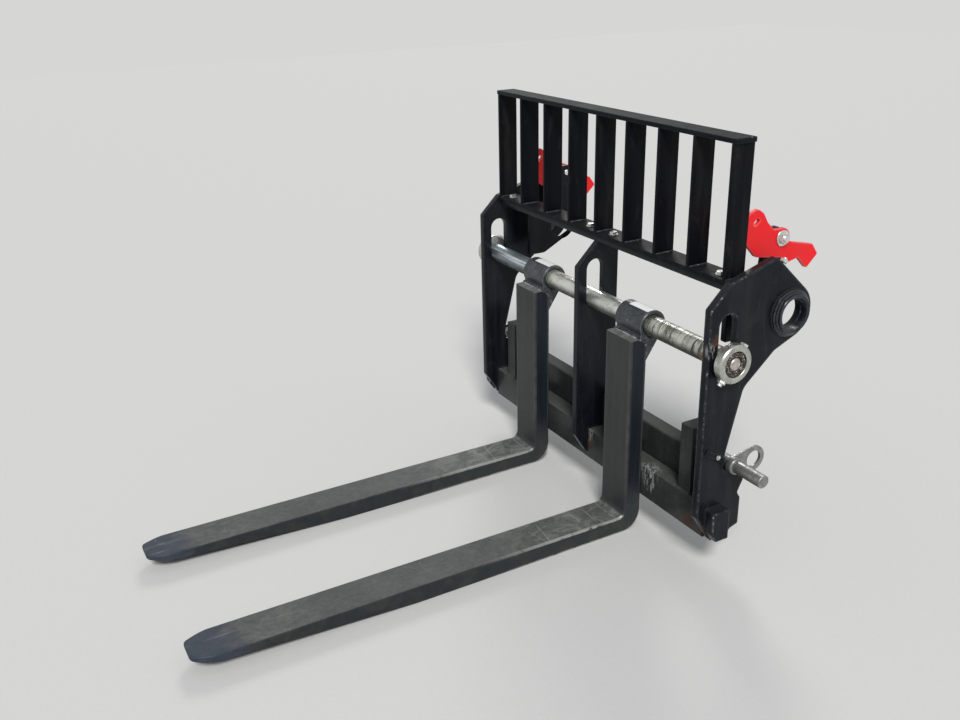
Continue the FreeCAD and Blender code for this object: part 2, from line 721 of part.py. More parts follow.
for thing in doc.Objects:
    if "Invalid" in thing.State or "Error" in thing.State:
        raise RuntimeError("%s is %s" % (thing.Label, thing.State))
for thing, label in nodes:
    if thing.Shape.isNull() or not thing.Shape.isValid():
        raise RuntimeError("%s has a bad shape" % label)

os.makedirs("parts", exist_ok=True)
for thing, label in nodes:
    thing.Shape.exportStep("parts/%s.step" % label)
box = Part.makeCompound([thing.Shape for thing, label in nodes]).BoundBox
print("pieces", len(nodes))
print("box", [round(v, 1) for v in (box.XMin, box.XMax, box.YMin, box.YMax, box.ZMin, box.ZMax)])
print("volume in litres", round(sum(thing.Shape.Volume for thing, label in nodes) / 1e6, 2))
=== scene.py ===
import json
import math

import bpy
import numpy as np
from mathutils import Matrix, Vector
from mathutils.geometry import tessellate_polygon


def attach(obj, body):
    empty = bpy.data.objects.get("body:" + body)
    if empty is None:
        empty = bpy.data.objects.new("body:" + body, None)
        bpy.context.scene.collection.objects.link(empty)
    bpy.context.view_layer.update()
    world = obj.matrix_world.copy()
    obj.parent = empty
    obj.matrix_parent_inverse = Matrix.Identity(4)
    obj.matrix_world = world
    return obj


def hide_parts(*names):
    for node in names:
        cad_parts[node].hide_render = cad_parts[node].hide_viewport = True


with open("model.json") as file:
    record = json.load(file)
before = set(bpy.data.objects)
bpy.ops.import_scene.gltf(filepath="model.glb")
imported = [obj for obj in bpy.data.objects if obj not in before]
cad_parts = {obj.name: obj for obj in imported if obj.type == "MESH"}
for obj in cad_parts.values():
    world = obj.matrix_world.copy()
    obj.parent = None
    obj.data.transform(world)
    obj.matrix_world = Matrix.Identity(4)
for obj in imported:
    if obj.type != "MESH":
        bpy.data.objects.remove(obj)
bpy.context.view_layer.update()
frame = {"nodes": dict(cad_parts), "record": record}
mm = 0.001
sides = {"left": -1, "right": 1}
print("frame loaded:", len(frame["nodes"]), "nodes")


# Outlines. Each is an array of (across, up) points, and the third number of a corner is its radius.

def arcLine(centre, radius, start, end, count):
    # Points at even angles, in radians, along part of a circle.
    angles = np.linspace(start, end, count)
    return np.array(centre) + radius * np.stack([np.cos(angles), np.sin(angles)], 1)


def roundedLoop(corners, step=9.0):
    # A corner is cut back along both sides to where an arc of its radius touches them, at the
    # radius over the tangent of half the corner, and the arc runs evenly between the two touches.
    points = np.array([corner[:2] for corner in corners], float)
    radii = [corner[2] for corner in corners]
    back = np.roll(points, 1, 0) - points
    ahead = np.roll(points, -1, 0) - points
    back /= np.linalg.norm(back, axis=1, keepdims=True)
    ahead /= np.linalg.norm(ahead, axis=1, keepdims=True)
    half = 0.5 * np.arccos(np.clip((back * ahead).sum(1), -1, 1))
    runs = []
    for point, b, a, h, radius in zip(points, back, ahead, half, radii):
        if radius <= 0:
            runs.append(point[None])
            continue
        middle = point + (b + a) / np.linalg.norm(b + a) * radius / math.sin(h)
        first = point + b * radius / math.tan(h) - middle
        last = point + a * radius / math.tan(h) - middle
        start = math.atan2(first[1], first[0])
        turn = (math.atan2(last[1], last[0]) - start + math.pi) % (2 * math.pi) - math.pi
        count = max(2, int(math.ceil(abs(math.degrees(turn)) / step)))
        runs.append(arcLine(middle, radius, start, start + turn, count + 1))
    return np.concatenate(runs)


def circleLoop(across, up, radius, count=48, start=0.0):
    # Points at even angles round a centre.
    angles = math.radians(start) + np.arange(count) * 2 * math.pi / count
    return np.stack([across + radius * np.cos(angles), up + radius * np.sin(angles)], 1)


def slotLoop(across, low, high, radius):
    # A rectangle whose corners are quarter circles of half its width.
    r = radius * 0.999
    return roundedLoop([(across - radius, low - radius, r), (across + radius, low - radius, r),
                        (across + radius, high + radius, r), (across - radius, high + radius, r)])


def signedArea(loop):
    # Half the sum of the cross products of neighbouring points.
    following = np.roll(loop, -1, 0)
    return 0.5 * float((loop[:, 0] * following[:, 1] - loop[:, 1] * following[:, 0]).sum())


def insetLoop(loop, distance):
    # Every side moves inwards by the distance, and each point goes to where its two sides then cross.
    # A side that would turn round, in a corner with too small a radius, is left out, and its points
    # gather where its neighbours cross. Two sides in line meet at the later one's start.
    side = np.roll(loop, -1, 0) - loop
    side /= np.maximum(np.linalg.norm(side, axis=1, keepdims=True), 1e-9)
    start = loop + np.stack([-side[:, 1], side[:, 0]], 1) * distance
    kept = np.arange(len(loop))
    while True:
        before = np.roll(kept, 1)
        gap = start[kept] - start[before]
        bend = side[before, 0] * side[kept, 1] - side[before, 1] * side[kept, 0]
        straight = np.abs(bend) < 1e-4
        reach = (gap[:, 0] * side[before, 1] - gap[:, 1] * side[before, 0]) / np.where(straight, 1, bend)
        corner = start[kept] + side[kept] * np.where(straight, 0, reach)[:, None]
        flipped = ((np.roll(corner, -1, 0) - corner) * side[kept]).sum(1) < -1e-6
        if not flipped.any() or len(kept) - flipped.sum() < 3:
            break
        kept = kept[~flipped]
    return corner[np.searchsorted(kept, np.arange(len(loop))) % len(kept)]


# Shells. Each is (points in millimetres, faces, how much each point is on a worn edge).

order = {"x": (2, 0, 1), "y": (1, 2, 0), "z": (0, 1, 2)}


def placed(across, up, along, axis):
    # Across, up and along are y, z, x for the x axis, z, x, y for y, and x, y, z for z.
    stacked = np.stack([across, up, along], -1)
    return stacked[..., list(order[axis])]


def slab(outline, low, high, axis="x", holes=(), bevel=1.6, fade=4.0):
    # The outline is carried from low to high. Near both ends it moves in along a quarter circle,
    # which rounds the edge, and once more on the flat, where the wear has faded out. Points that
    # gather on the flat are made one.
    bevel = min(bevel, 0.45 * (high - low))
    fall = min(fade, 0.5 * (high - low) - bevel)
    midway = 0.293 * bevel
    half = [(bevel + fade, 0, 0.0), (bevel, 0, 1.0), (midway, midway, 1.0), (0, bevel, 1.0),
            (0, bevel + fall, 0.0)]
    rows = [(move, low + height, worn) for move, height, worn in half]
    rows += [(move, high - height, worn) for move, height, worn in reversed(half)]
    loops = [outline if signedArea(outline) > 0 else outline[::-1]]
    loops += [hole if signedArea(hole) < 0 else hole[::-1] for hole in holes]
    points, faces, edges, base = [], [], [], 0
    firsts, lasts = [], []
    for loop in loops:
        count = len(loop)
        rings = [insetLoop(loop, move) for move, height, worn in rows]
        for ring, (move, height, worn) in zip(rings, rows):
            points.append(placed(ring[:, 0], ring[:, 1], np.full(count, height), axis))
            edges.append(np.full(count, worn))
        index = base + np.arange(len(rows) * count).reshape(len(rows), count)
        for row in (0, -1):
            same = np.linalg.norm(rings[row] - np.roll(rings[row], 1, 0), axis=1) < 1e-3
            starts = np.flatnonzero(~same)
            index[row] = index[row][starts[np.searchsorted(starts, np.arange(count), "right") - 1]]
        following = np.roll(index, -1, 1)
        quads = np.stack([index[:-1], following[:-1], following[1:], index[1:]], -1)
        faces += [list(dict.fromkeys(quad)) for quad in quads.reshape(-1, 4).tolist()]
        for row, ends in ((0, firsts), (-1, lasts)):
            names, at = np.unique(index[row], return_index=True)
            ends.append((rings[row][np.sort(at)], index[row][np.sort(at)]))
        base += len(rows) * count
    for ends, sign in ((firsts, -1), (lasts, 1)):
        flat = np.concatenate([ring for ring, index in ends])
        names = np.concatenate([index for ring, index in ends])
        cells = np.array(tessellate_polygon([[Vector((x, y, 0)) for x, y in ring] for ring, index in ends]))
        a, b, c = flat[cells[:, 0]], flat[cells[:, 1]], flat[cells[:, 2]]
        winding = (b[:, 0] - a[:, 0]) * (c[:, 1] - a[:, 1]) - (b[:, 1] - a[:, 1]) * (c[:, 0] - a[:, 0])
        cells = np.where((winding * sign > 0)[:, None], cells, cells[:, ::-1])
        faces += names[cells].tolist()
    return np.concatenate(points), faces, np.concatenate(edges)


def block(x, y, z, axis="x", bevel=1.6, fade=4.0, corner=1.5):
    # A slab on a rectangle with small round corners.
    spans = {"x": (y, z, x), "y": (z, x, y), "z": (x, y, z)}[axis]
    (a0, a1), (b0, b1), (low, high) = spans
    loop = roundedLoop([(a0, b0, corner), (a1, b0, corner), (a1, b1, corner), (a0, b1, corner)], 30)
    return slab(loop, low, high, axis, (), bevel, fade)


def wrapped(rows, count, closed=False):
    # Faces over rows of points that each go once round. The last row joins the first, or both are
    # covered.
    index = np.arange(rows * count).reshape(rows, count)
    upper = np.roll(index, -1, 0) if closed else index[1:]
    lower = index if closed else index[:-1]
    quads = np.stack([lower, np.roll(lower, -1, 1), np.roll(upper, -1, 1), upper], -1)
    covers = [] if closed else [index[0][::-1].tolist(), index[-1].tolist()]
    return quads.reshape(-1, 4).tolist() + covers


def turned(profile, centre, axis="x", count=64, closed=False):
    # The profile's (along, radius, wear) points go round the axis through the centre.
    profile = np.array(profile, float)
    angles = np.arange(count) * 2 * math.pi / count
    across = centre[0] + profile[:, 1, None] * np.cos(angles)
    up = centre[1] + profile[:, 1, None] * np.sin(angles)
    along = np.broadcast_to(profile[:, 0, None], across.shape)
    points = placed(across, up, along, axis).reshape(-1, 3)
    return points, wrapped(len(profile), count, closed), np.repeat(profile[:, 2], count)


def ringProfile(low, high, inner, outer, bevel=1.5):
    # A closed rectangle with cut corners, outer side first so that its faces look outwards.
    b = bevel
    return [(low + b, outer, 1), (low + 3 * b, outer, 0), (high - 3 * b, outer, 0), (high - b, outer, 1),
            (high, outer - b, 1), (high, outer - 2 * b, 0), (high, inner + 2 * b, 0), (high, inner + b, 1),
            (high - b, inner, 1), (low + b, inner, 1), (low, inner + b, 1), (low, inner + 2 * b, 0),
            (low, outer - 2 * b, 0), (low, outer - b, 1)]


def bead(path, radius, pitch=5.0, closed=False, seed=1):
    # A circle of eight points is carried along the path. Its radius swells and sinks once a pitch,
    # like the scallops of a weld, and wanders a little.
    path = np.array(path, float)
    if closed:
        path = np.concatenate([path, path[:1]])
    length = np.concatenate([[0], np.cumsum(np.linalg.norm(np.diff(path, axis=0), axis=1))])
    count = max(6, int(length[-1] / (pitch / 3)))
    station = np.linspace(0, length[-1], count, endpoint=not closed)
    centre = np.stack([np.interp(station, length, path[:, k]) for k in range(3)], 1)
    if closed:
        forward = np.roll(centre, -1, 0) - np.roll(centre, 1, 0)
    else:
        forward = np.gradient(centre, axis=0)
    forward /= np.maximum(np.linalg.norm(forward, axis=1, keepdims=True), 1e-9)
    reference = np.eye(3)[int(np.argmin(np.abs(forward).sum(0)))]
    first = np.cross(forward, reference)
    first /= np.maximum(np.linalg.norm(first, axis=1, keepdims=True), 1e-9)
    second = np.cross(forward, first)
    random = np.random.default_rng(seed)
    wander = np.convolve(random.normal(0, 0.12, count + 8), np.ones(9) / 9, "valid")
    size = radius * (1 + 0.16 * np.abs(np.sin(math.pi * station / pitch)) + wander)
    angles = np.arange(8) * math.pi / 4
    ring = first[:, None] * np.cos(angles)[None, :, None] + second[:, None] * np.sin(angles)[None, :, None]
    points = (centre[:, None] + ring * size[:, None, None]).reshape(-1, 3)
    return points, wrapped(count, 8, closed), np.zeros(len(points))


def hexBolt(centre, along, radius, height, axis="x", washer=0.0, thick=3.0):
    # A hexagon with rounded edges on a washer, both rising from along. A negative height goes down.
    sign = 1 if height > 0 else -1
    seat = along + sign * (thick if washer else 0)
    low, high = sorted((seat, along + height))
    shells = [slab(circleLoop(*centre, radius, 6, 17), low, high, axis, (), 1.0, 1.2)]
    if washer:
        low, high = sorted((along, seat))
        shells.append(turned(ringProfile(low, high, radius * 0.5, washer, 0.6), centre, axis, 40, True))
    return shells


# Pieces

def makePiece(name, shells, finish, body, nodes=(), smooth=40):
    points, faces, edges, base = [], [], [], 0
    for shellPoints, shellFaces, shellEdges in shells:
        points.append(shellPoints)
        edges.append(shellEdges)
        faces += [[corner + base for corner in face] for face in shellFaces]
        base += len(shellPoints)
    mesh = bpy.data.meshes.new(name)
    mesh.from_pydata((np.concatenate(points) * mm).tolist(), [], faces)
    worn = mesh.attributes.new("edge", "FLOAT", "POINT")
    worn.data.foreach_set("value", np.concatenate(edges).astype(np.float32))
    mesh.polygons.foreach_set("use_smooth", np.ones(len(mesh.polygons), bool))
    mesh.set_sharp_from_angle(angle=math.radians(smooth))
    mesh.update()
    piece = bpy.data.objects.new(name, mesh)
    bpy.context.scene.collection.objects.link(piece)
    slot, material = finishes[finish]
    mesh.materials.append(material)
    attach(piece, body)
    if nodes:
        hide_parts(*nodes)


# Shader maths

class Wire:
    # A socket that can be added, multiplied and so on, each of which adds a Math node.
    def __init__(self, board, socket):
        self.board = board
        self.socket = socket

    def math(self, operation, *values):
        return self.board.add("ShaderNodeMath", {"operation": operation}, dict(enumerate(values)))

    def __add__(self, other):
        return self.math("ADD", self, other)

    def __sub__(self, other):
        return self.math("SUBTRACT", self, other)

    def __mul__(self, other):
        return self.math("MULTIPLY", self, other)

    def __truediv__(self, other):
        return self.math("DIVIDE", self, other)

    def __rsub__(self, other):
        return self.math("SUBTRACT", other, self)

    def __neg__(self):
        return self.math("MULTIPLY", self, -1.0)

    __radd__ = __add__
    __rmul__ = __mul__

    def above(self, level, soft=0.05):
        # 0 below the level and 1 above it, with a soft step between.
        return self.board.add("ShaderNodeMapRange", {"interpolation_type": "SMOOTHSTEP"},
                              {0: self, 1: level - soft, 2: level + soft, 3: 0.0, 4: 1.0})

    def within(self, low, high, soft):
        # 1 between the two levels and 0 outside them.
        return self.above(low, soft) * (1 - self.above(high, soft))

    def clamped(self):
        return self.board.add("ShaderNodeClamp", {}, {0: self})


class Board:
    # A material and the one way to put a node on it.
    def __init__(self, name):
        self.material = bpy.data.materials.new(name)
        self.material.use_nodes = True
        self.tree = self.material.node_tree
        self.tree.nodes.clear()
        self.shader = self.tree.nodes.new("ShaderNodeBsdfPrincipled")
        output = self.tree.nodes.new("ShaderNodeOutputMaterial")
        self.tree.links.new(self.shader.outputs[0], output.inputs["Surface"])

    def fill(self, socket, value):
        if isinstance(value, Wire):
            self.tree.links.new(value.socket, socket)
        else:
            socket.default_value = value

    def add(self, kind, settings=None, values=None, output=0):
        node = self.tree.nodes.new(kind)
        for setting, value in (settings or {}).items():
            setattr(node, setting, value)
        for socket, value in (values or {}).items():
            self.fill(node.inputs[socket], value)
        return Wire(self, node.outputs[output])

    def place(self):
        return self.add("ShaderNodeTexCoord", output="Object")

    def split(self, vector):
        node = self.add("ShaderNodeSeparateXYZ", {}, {0: vector}).socket.node
        return [Wire(self, node.outputs[index]) for index in range(3)]

    def axes(self):
        return self.split(self.place())

    def facing(self):
        # How far the surface looks along x, y and z of the object.
        return self.split(self.add("ShaderNodeTexCoord", output="Normal"))

    def edge(self):
        return self.add("ShaderNodeAttribute", {"attribute_name": "edge"}, output="Fac")

    def noise(self, scale, detail=4.0, rough=0.55, stretch=None, distortion=0.0, shift=(0, 0, 0)):
        place = self.place()
        if stretch or shift != (0, 0, 0):
            place = self.add("ShaderNodeMapping", {}, {"Vector": place, "Scale": stretch or (1, 1, 1),
                                                      "Location": shift})
        return self.add("ShaderNodeTexNoise", {}, {"Vector": place, "Scale": scale, "Detail": detail,
                                                   "Roughness": rough, "Distortion": distortion})

    def near(self, spot, radius, soft=0.4):
        # 1 within a distance of a spot, fading out over a share of that distance.
        away = self.add("ShaderNodeVectorMath", {"operation": "DISTANCE"}, {0: self.place(), 1: spot}, 1)
        return 1 - away.above(radius, radius * soft)

    def mix(self, amount, first, second):
        # The first colour, and the second one over it by an amount from 0 to 1.
        first = (*first, 1) if isinstance(first, tuple) else first
        second = (*second, 1) if isinstance(second, tuple) else second
        return self.add("ShaderNodeMix", {"data_type": "RGBA"}, {0: amount, 6: first, 7: second}, 2)

    def bump(self, height, strength, distance, normal=None):
        values = {"Strength": strength, "Distance": distance, "Height": height}
        if normal is not None:
            values["Normal"] = normal
        return self.add("ShaderNodeBump", {}, values)

    def finish(self, **sockets):
        for name, value in sockets.items():
            socket = self.shader.inputs[name.replace("_", " ")]
            if isinstance(value, tuple) and len(value) == 3:
                value = (*value, 1)
            self.fill(socket, value)
        return self.material


# Black paint: darker and lighter patches, dust where it faces up, a faint lighter line along the edges
# that is partly worn paint and partly painted edge highlight, with chips in it, scuffs, runs of dirt
# down the sides, and the ripple of sprayed paint.
# The blue tint in the black is painted sky reflection.
paintLook = {"black": (0.0035, 0.005, 0.008), "worn": (0.012, 0.0145, 0.019), "dust": (0.12, 0.115, 0.1),
             "line": (0.018, 0.02, 0.023), "chip": (0.36, 0.36, 0.35), "chipAt": 0.66, "gloss": 0.22,
             "dustAmount": 0.1, "shine": 0.15, "rust": (0.1, 0.045, 0.025), "rustAt": 0.8,
             "rubs": (), "stains": ()}
plateLook = {**paintLook, "chipAt": 0.585, "line": (0.05, 0.054, 0.06), "rustAt": 0.71,
             "rubs": (((0.547, -0.24, -0.052), 0.013),),
             "stains": (((0.5475, -0.222, -0.028), 0.016), ((0.54, -0.236, -0.552), 0.02))}
dustyLook = {**paintLook, "dustAmount": 0.75, "dust": (0.11, 0.115, 0.105), "black": (0.02, 0.022, 0.023),
             "worn": (0.062, 0.065, 0.063), "rustAt": 0.74,
             "rubs": (((0.3, -0.204, -0.5), 0.027), ((0.306, -0.206, -0.532), 0.018),
                      ((0.02, -0.206, -0.505), 0.016)),
             "stains": (((0.47, -0.206, -0.565), 0.022), ((0.018, -0.206, -0.525), 0.02))}
railLook = {**paintLook, "dustAmount": 0.14, "dust": (0.03, 0.036, 0.017), "gloss": 0.42, "shine": 0.07}
barLook = {**paintLook, "gloss": 0.3, "shine": 0.06, "line": (0.016, 0.017, 0.02),
           "worn": (0.007, 0.006, 0.007)}
# The boss's bluish edge line is brighter still: painted highlight on its stepped edges.
bossLook = {**plateLook, "shine": 0.3, "gloss": 0.1, "line": (0.05, 0.06, 0.075), "chipAt": 0.63,
            "rustAt": 0.8}


def blackPaint(name, look):
    board = Board(name)
    upZ = board.facing()[2]
    patches = board.noise(9, 6, 0.6)
    fine = board.noise(160, 5, 0.65)
    runs = board.noise(26, 4, 0.6, (1, 1, 0.08))
    speckle = board.noise(420, 3, 0.7)
    rubs = board.noise(14, 6, 0.75, (1, 1, 0.35), 1.4, (0.2, 0.6, 0.1))
    worn = board.edge()
    broken = board.noise(60, 6, 0.72, None, 0.6)
    # A faint lighter line along the edges: partly worn paint, partly painted edge highlight.
    line = worn.above(0.55, 0.2) * broken.above(0.46, 0.12)
    chips = (worn * broken).above(look["chipAt"], 0.02) * board.noise(7, 2).above(0.46, 0.08)
    streaked = board.noise(120, 4, 0.7, (1, 1, 0.25)).above(0.53, 0.05)
    for spot, radius in look["rubs"]:
        chips = chips + board.near(spot, radius, 0.9) * streaked
    flecks = board.noise(190, 4, 0.75, None, 0.3, (0.4, 0.2, 0.7)).above(0.71, 0.015)
    flecks = flecks * board.noise(5, 2).above(0.58, 0.1)
    settled = upZ.above(0.6, 0.25) * (0.2 + patches * 0.6 + fine.above(0.5, 0.2) * 0.6)
    film = runs.above(0.58, 0.12) * 0.07 + speckle.above(0.62, 0.1) * 0.05 + rubs.above(0.6, 0.05) * 0.06
    dust = (settled * look["dustAmount"] + film).clamped()
    weathered = patches.above(0.55, 0.2) * 0.6 + fine.above(0.5, 0.2) * 0.3
    colour = board.mix(weathered, look["black"], look["worn"])
    colour = board.mix(dust, colour, look["dust"])
    colour = board.mix(line * 0.55, colour, look["line"])
    rusty = board.noise(11, 3, 0.5, None, 0, (0.7, 0.3, 0.2)).above(look["rustAt"], 0.03)
    rusty = rusty * fine.above(0.48, 0.1)
    for spot, radius in look["stains"]:
        rusty = rusty + board.near(spot, radius, 0.6) * fine.above(0.45, 0.08)
    colour = board.mix((rusty * 0.8).clamped(), colour, look["rust"])
    chips = (chips + flecks * 0.6).clamped()
    colour = board.mix(chips, colour, look["chip"])
    rough = (look["gloss"] + patches * 0.1 + dust * 0.9 + chips * 0.2 + rusty * 0.4 + line * 0.1).clamped()
    ripple = board.bump(board.noise(210, 2, 0.5), 0.1, 0.0005)
    pits = board.bump(board.noise(34, 5, 0.6), 0.2, 0.001, ripple)
    normal = board.bump(1.0 - chips, 0.5, 0.0004, pits)
    return board.finish(Base_Color=colour, Roughness=rough, Normal=normal, Specular_IOR_Level=look["shine"])


# Satin fork coating: near black on the shank's sides, greyer on its face, where the grey is a painted
# sheen with mottling in it, greyer near the floor, scuffed pale on the treads, with scratches across
# them near the heel, and bluish and bare at the tips.
forkLook = {"charcoal": (0.0105, 0.014, 0.0175), "face": (0.05, 0.054, 0.052), "side": (0.034, 0.039, 0.04),
            "tread": (0.135, 0.138, 0.128), "pale": (0.36, 0.36, 0.335), "scratch": (0.5, 0.5, 0.47),
            "bare": (0.02, 0.036, 0.055), "violet": (0.066, 0.071, 0.093), "earth": (0.07, 0.062, 0.045),
            "streak": (0.016, 0.021, 0.034), "ledge": (0.16, 0.165, 0.165), "rim": (0.085, 0.09, 0.08),
            "heelAt": -0.26, "tipAt": -1.46, "bareFrom": -1.36, "treadAt": -0.638, "shine": 0.2,
            "strokes": ((-0.3, -0.2, -0.388, -0.15), (-0.296, -0.206, -0.432, 0.1),
                        (-0.3, -0.2, -0.284, 0.0), (0.18, 0.27, -0.494, -0.1), (0.2, 0.27, -0.53, 0.25),
                        (0.165, 0.27, -0.286, 0.0))}


def forkCoating(name, look):
    board = Board(name)
    x, y, z = board.axes()
    upY, upZ = board.facing()[1:]
    tread = upZ.above(0.75, 0.15)
    front = (-upY).above(0.75, 0.15)
    low = 1 - (z + 0.7).above(0.13, 0.06)
    onTread = 1 - (z - look["treadAt"]).above(0.004, 0.003)
    toTip = ((look["heelAt"] - y) / (look["heelAt"] - look["tipAt"])).clamped()
    clouds = board.noise(6.5, 6, 0.62).above(0.5, 0.2)
    mottle = board.noise(48, 6, 0.72, (1, 0.6, 1)).above(0.5, 0.22)
    drawn = board.noise(60, 4, 0.6, (1, 0.035, 1), 0.4)
    crossed = board.noise(34, 4, 0.6, (0.05, 1, 1), 1.0, (0.3, 0.1, 0))
    grain = board.noise(420, 3, 0.7)
    grit = grain.above(0.5, 0.18)
    worn = board.edge()
    heelward = 1 - toTip.above(0.26, 0.16)
    streaks = board.noise(75, 4, 0.65, (1, 1, 0.05)).above(0.52, 0.12)
    colour = board.mix(streaks * 0.8, look["charcoal"], look["streak"])
    # Greyer front faces: a painted sheen, with mottling in it.
    frontSheen = front * (0.3 + clouds * 0.25 + mottle * 0.25 + grit * 0.45 + streaks * 0.22)
    colour = board.mix(frontSheen.clamped(), colour, look["face"])
    ledge = upZ.above(0.55, 0.25) * (z + 0.13).above(0.0, 0.004) * (0.35 + mottle * 0.65)
    colour = board.mix(ledge, colour, look["ledge"])
    rim = worn.above(0.45, 0.4) * (1 - tread) * (1 - low) * (0.3 + mottle * 0.4)
    colour = board.mix(rim, colour, look["rim"])
    onSide = low * (1 - tread) * (0.22 + heelward * 0.35 + mottle * 0.35 + grit * 0.35)
    colour = board.mix(onSide.clamped(), colour, look["side"])
    smudge = board.noise(95, 5, 0.75, (1, 0.6, 1), 0.5, (0.3, 0.7, 0.1)).above(0.5, 0.14)
    trodden = tread * (0.2 + clouds * 0.18 + mottle * 0.2 + smudge * 0.2 + grit * 0.28)
    colour = board.mix(trodden.clamped(), colour, look["tread"])
    scuffed = board.noise(19, 7, 0.78, (1, 0.7, 1), 0.9, (0.5, 0.1, 0.2)).above(0.52, 0.06)
    pale = tread * (mottle * 0.3 + scuffed * 0.7) * (0.05 + heelward * 0.5 + toTip.above(0.76, 0.1) * 0.14)
    colour = board.mix((pale * (0.55 + grit * 0.7)).clamped(), colour, look["pale"])
    soil = (low * (1 - tread) * board.noise(20, 5, 0.6).above(0.56, 0.08) * 0.3).clamped()
    colour = board.mix(soil, colour, look["earth"])
    drift = board.noise(14, 3, 0.5, (1.4, 1, 1))
    bared = (-y + drift * 0.16 - 0.08 + smudge * 0.02).above(-look["bareFrom"], 0.03)
    metal = board.mix(mottle * 0.7 + grit * 0.3, look["bare"], look["violet"])
    colour = board.mix(bared * 0.9, colour, metal)
    scratches = (drawn.above(0.69, 0.012) * 0.3 + crossed.above(0.68, 0.01) * heelward * 0.6) * tread
    scratches = scratches * board.noise(9, 3).above(0.5, 0.08)
    for left, right, at, slope in look["strokes"]:
        off = y - at - (x - left) * slope + board.noise(12, 2) * 0.006 - 0.003
        stroke = off.within(-0.0016, 0.0016, 0.001) * x.within(left, right, 0.004)
        scratches = scratches + stroke * tread * (0.12 + mottle * 0.45)
    scratches = scratches + drawn.above(0.6, 0.02) * tread * bared * mottle * 0.3
    rubbed = (worn * (0.35 + board.noise(40, 5, 0.7))).above(0.74, 0.1) * heelward * onTread
    flecks = board.noise(150, 2, 0.5, None, 0, (0.6, 0.2, 0.4)).above(0.76, 0.01) * tread * 0.8
    bright = (scratches + rubbed + flecks).clamped()
    colour = board.mix(bright * 0.8, colour, look["scratch"])
    rough = (0.44 + mottle * 0.12 + tread * 0.12 - bared * 0.08 - bright * 0.1).clamped()
    normal = board.bump(grain, 0.3, 0.0006)
    normal = board.bump(board.noise(22, 6, 0.6), 0.25, 0.0014, normal)
    normal = board.bump(1 - bright, 0.4, 0.0003, normal)
    return board.finish(Base_Color=colour, Roughness=rough, Metallic=(bright * 0.5).clamped(),
                        Normal=normal, Specular_IOR_Level=look["shine"])


# Bored fork eyes: the same coating, darker and smoother, with weld spatter, scuffs, pale rims that
# are partly painted edge highlight, and a near-white strip on top that is a painted highlight, standing
# in for the sky's reflection off the eye.
# The bare colour and the bounds after it make the painted highlight strip on the eye's top.
eyeLook = {"dark": (0.02, 0.025, 0.031), "grey": (0.07, 0.077, 0.085), "spatter": (0.42, 0.43, 0.43),
           "bare": (0.95, 0.95, 0.93), "highlightHalf": 0.0145, "bareFrom": -0.029, "highlightTo": 0.05,
           "shaftY": -0.191, "shaftZ": -0.084}


def eyeCoating(name, look, middle):
    board = Board(name)
    x, y, z = board.axes()
    clouds = board.noise(26, 5, 0.65)
    fine = board.noise(200, 5, 0.75)
    spots = (fine.above(0.64, 0.04) * board.noise(34, 2).above(0.5, 0.06)).clamped()
    # Pale rims: spatter colour along the edges, partly painted edge highlight.
    edges = (board.edge() * (0.3 + fine)).above(0.74, 0.06) * 0.14
    mottle = clouds.above(0.5, 0.14) * 0.5 + fine.above(0.52, 0.12) * 0.6
    colour = board.mix(mottle.clamped(), look["dark"], look["grey"])
    arcs = board.noise(150, 4, 0.65, (1, 0.12, 0.12), 1.2).above(0.63, 0.02) * clouds.above(0.45, 0.1) * 0.35
    colour = board.mix((spots * 0.7 + edges + arcs).clamped(), colour, look["spatter"])
    # A near-white strip along the eye's top: painted highlight standing in for the sky's reflection.
    across = x - middle + clouds * 0.006 - 0.003
    along = y - look["shaftY"] + fine * 0.002 - 0.001
    paintedHighlight = across.within(look["bareFrom"], look["highlightTo"], 0.0012)
    paintedHighlight = paintedHighlight * along.within(-look["highlightHalf"], look["highlightHalf"], 0.0008)
    paintedHighlight = paintedHighlight * (z - look["shaftZ"]).above(0.036, 0.001)
    colour = board.mix(paintedHighlight, colour, look["bare"])
    normal = board.bump(board.noise(45, 5, 0.6), 0.3, 0.0012, board.bump(fine, 0.25, 0.0005))
    rough = (0.26 + clouds * 0.14 + spots * 0.3 + paintedHighlight * 0.2).clamped()
    return board.finish(Base_Color=colour, Roughness=rough, Normal=normal, Specular_IOR_Level=0.4)


# Shaft steel: bluish and drawn lengthwise on the left, stained pale yellow in the middle and to the
# right, where dark rings run round it, darkened underneath by painted shade that stands in for the
# shadow below the carriage, with a little rust beside the right plate.
shaftLook = {"blue": (0.16, 0.24, 0.31), "bright": (0.8, 0.82, 0.8), "stain": (0.66, 0.66, 0.56),
             "mark": (0.32, 0.32, 0.27), "ring": (0.06, 0.058, 0.04), "rust": (0.34, 0.19, 0.08),
             "grease": (0.05, 0.05, 0.042), "rustFrom": 0.485, "blueTo": -0.3, "ringsFrom": 0.27}


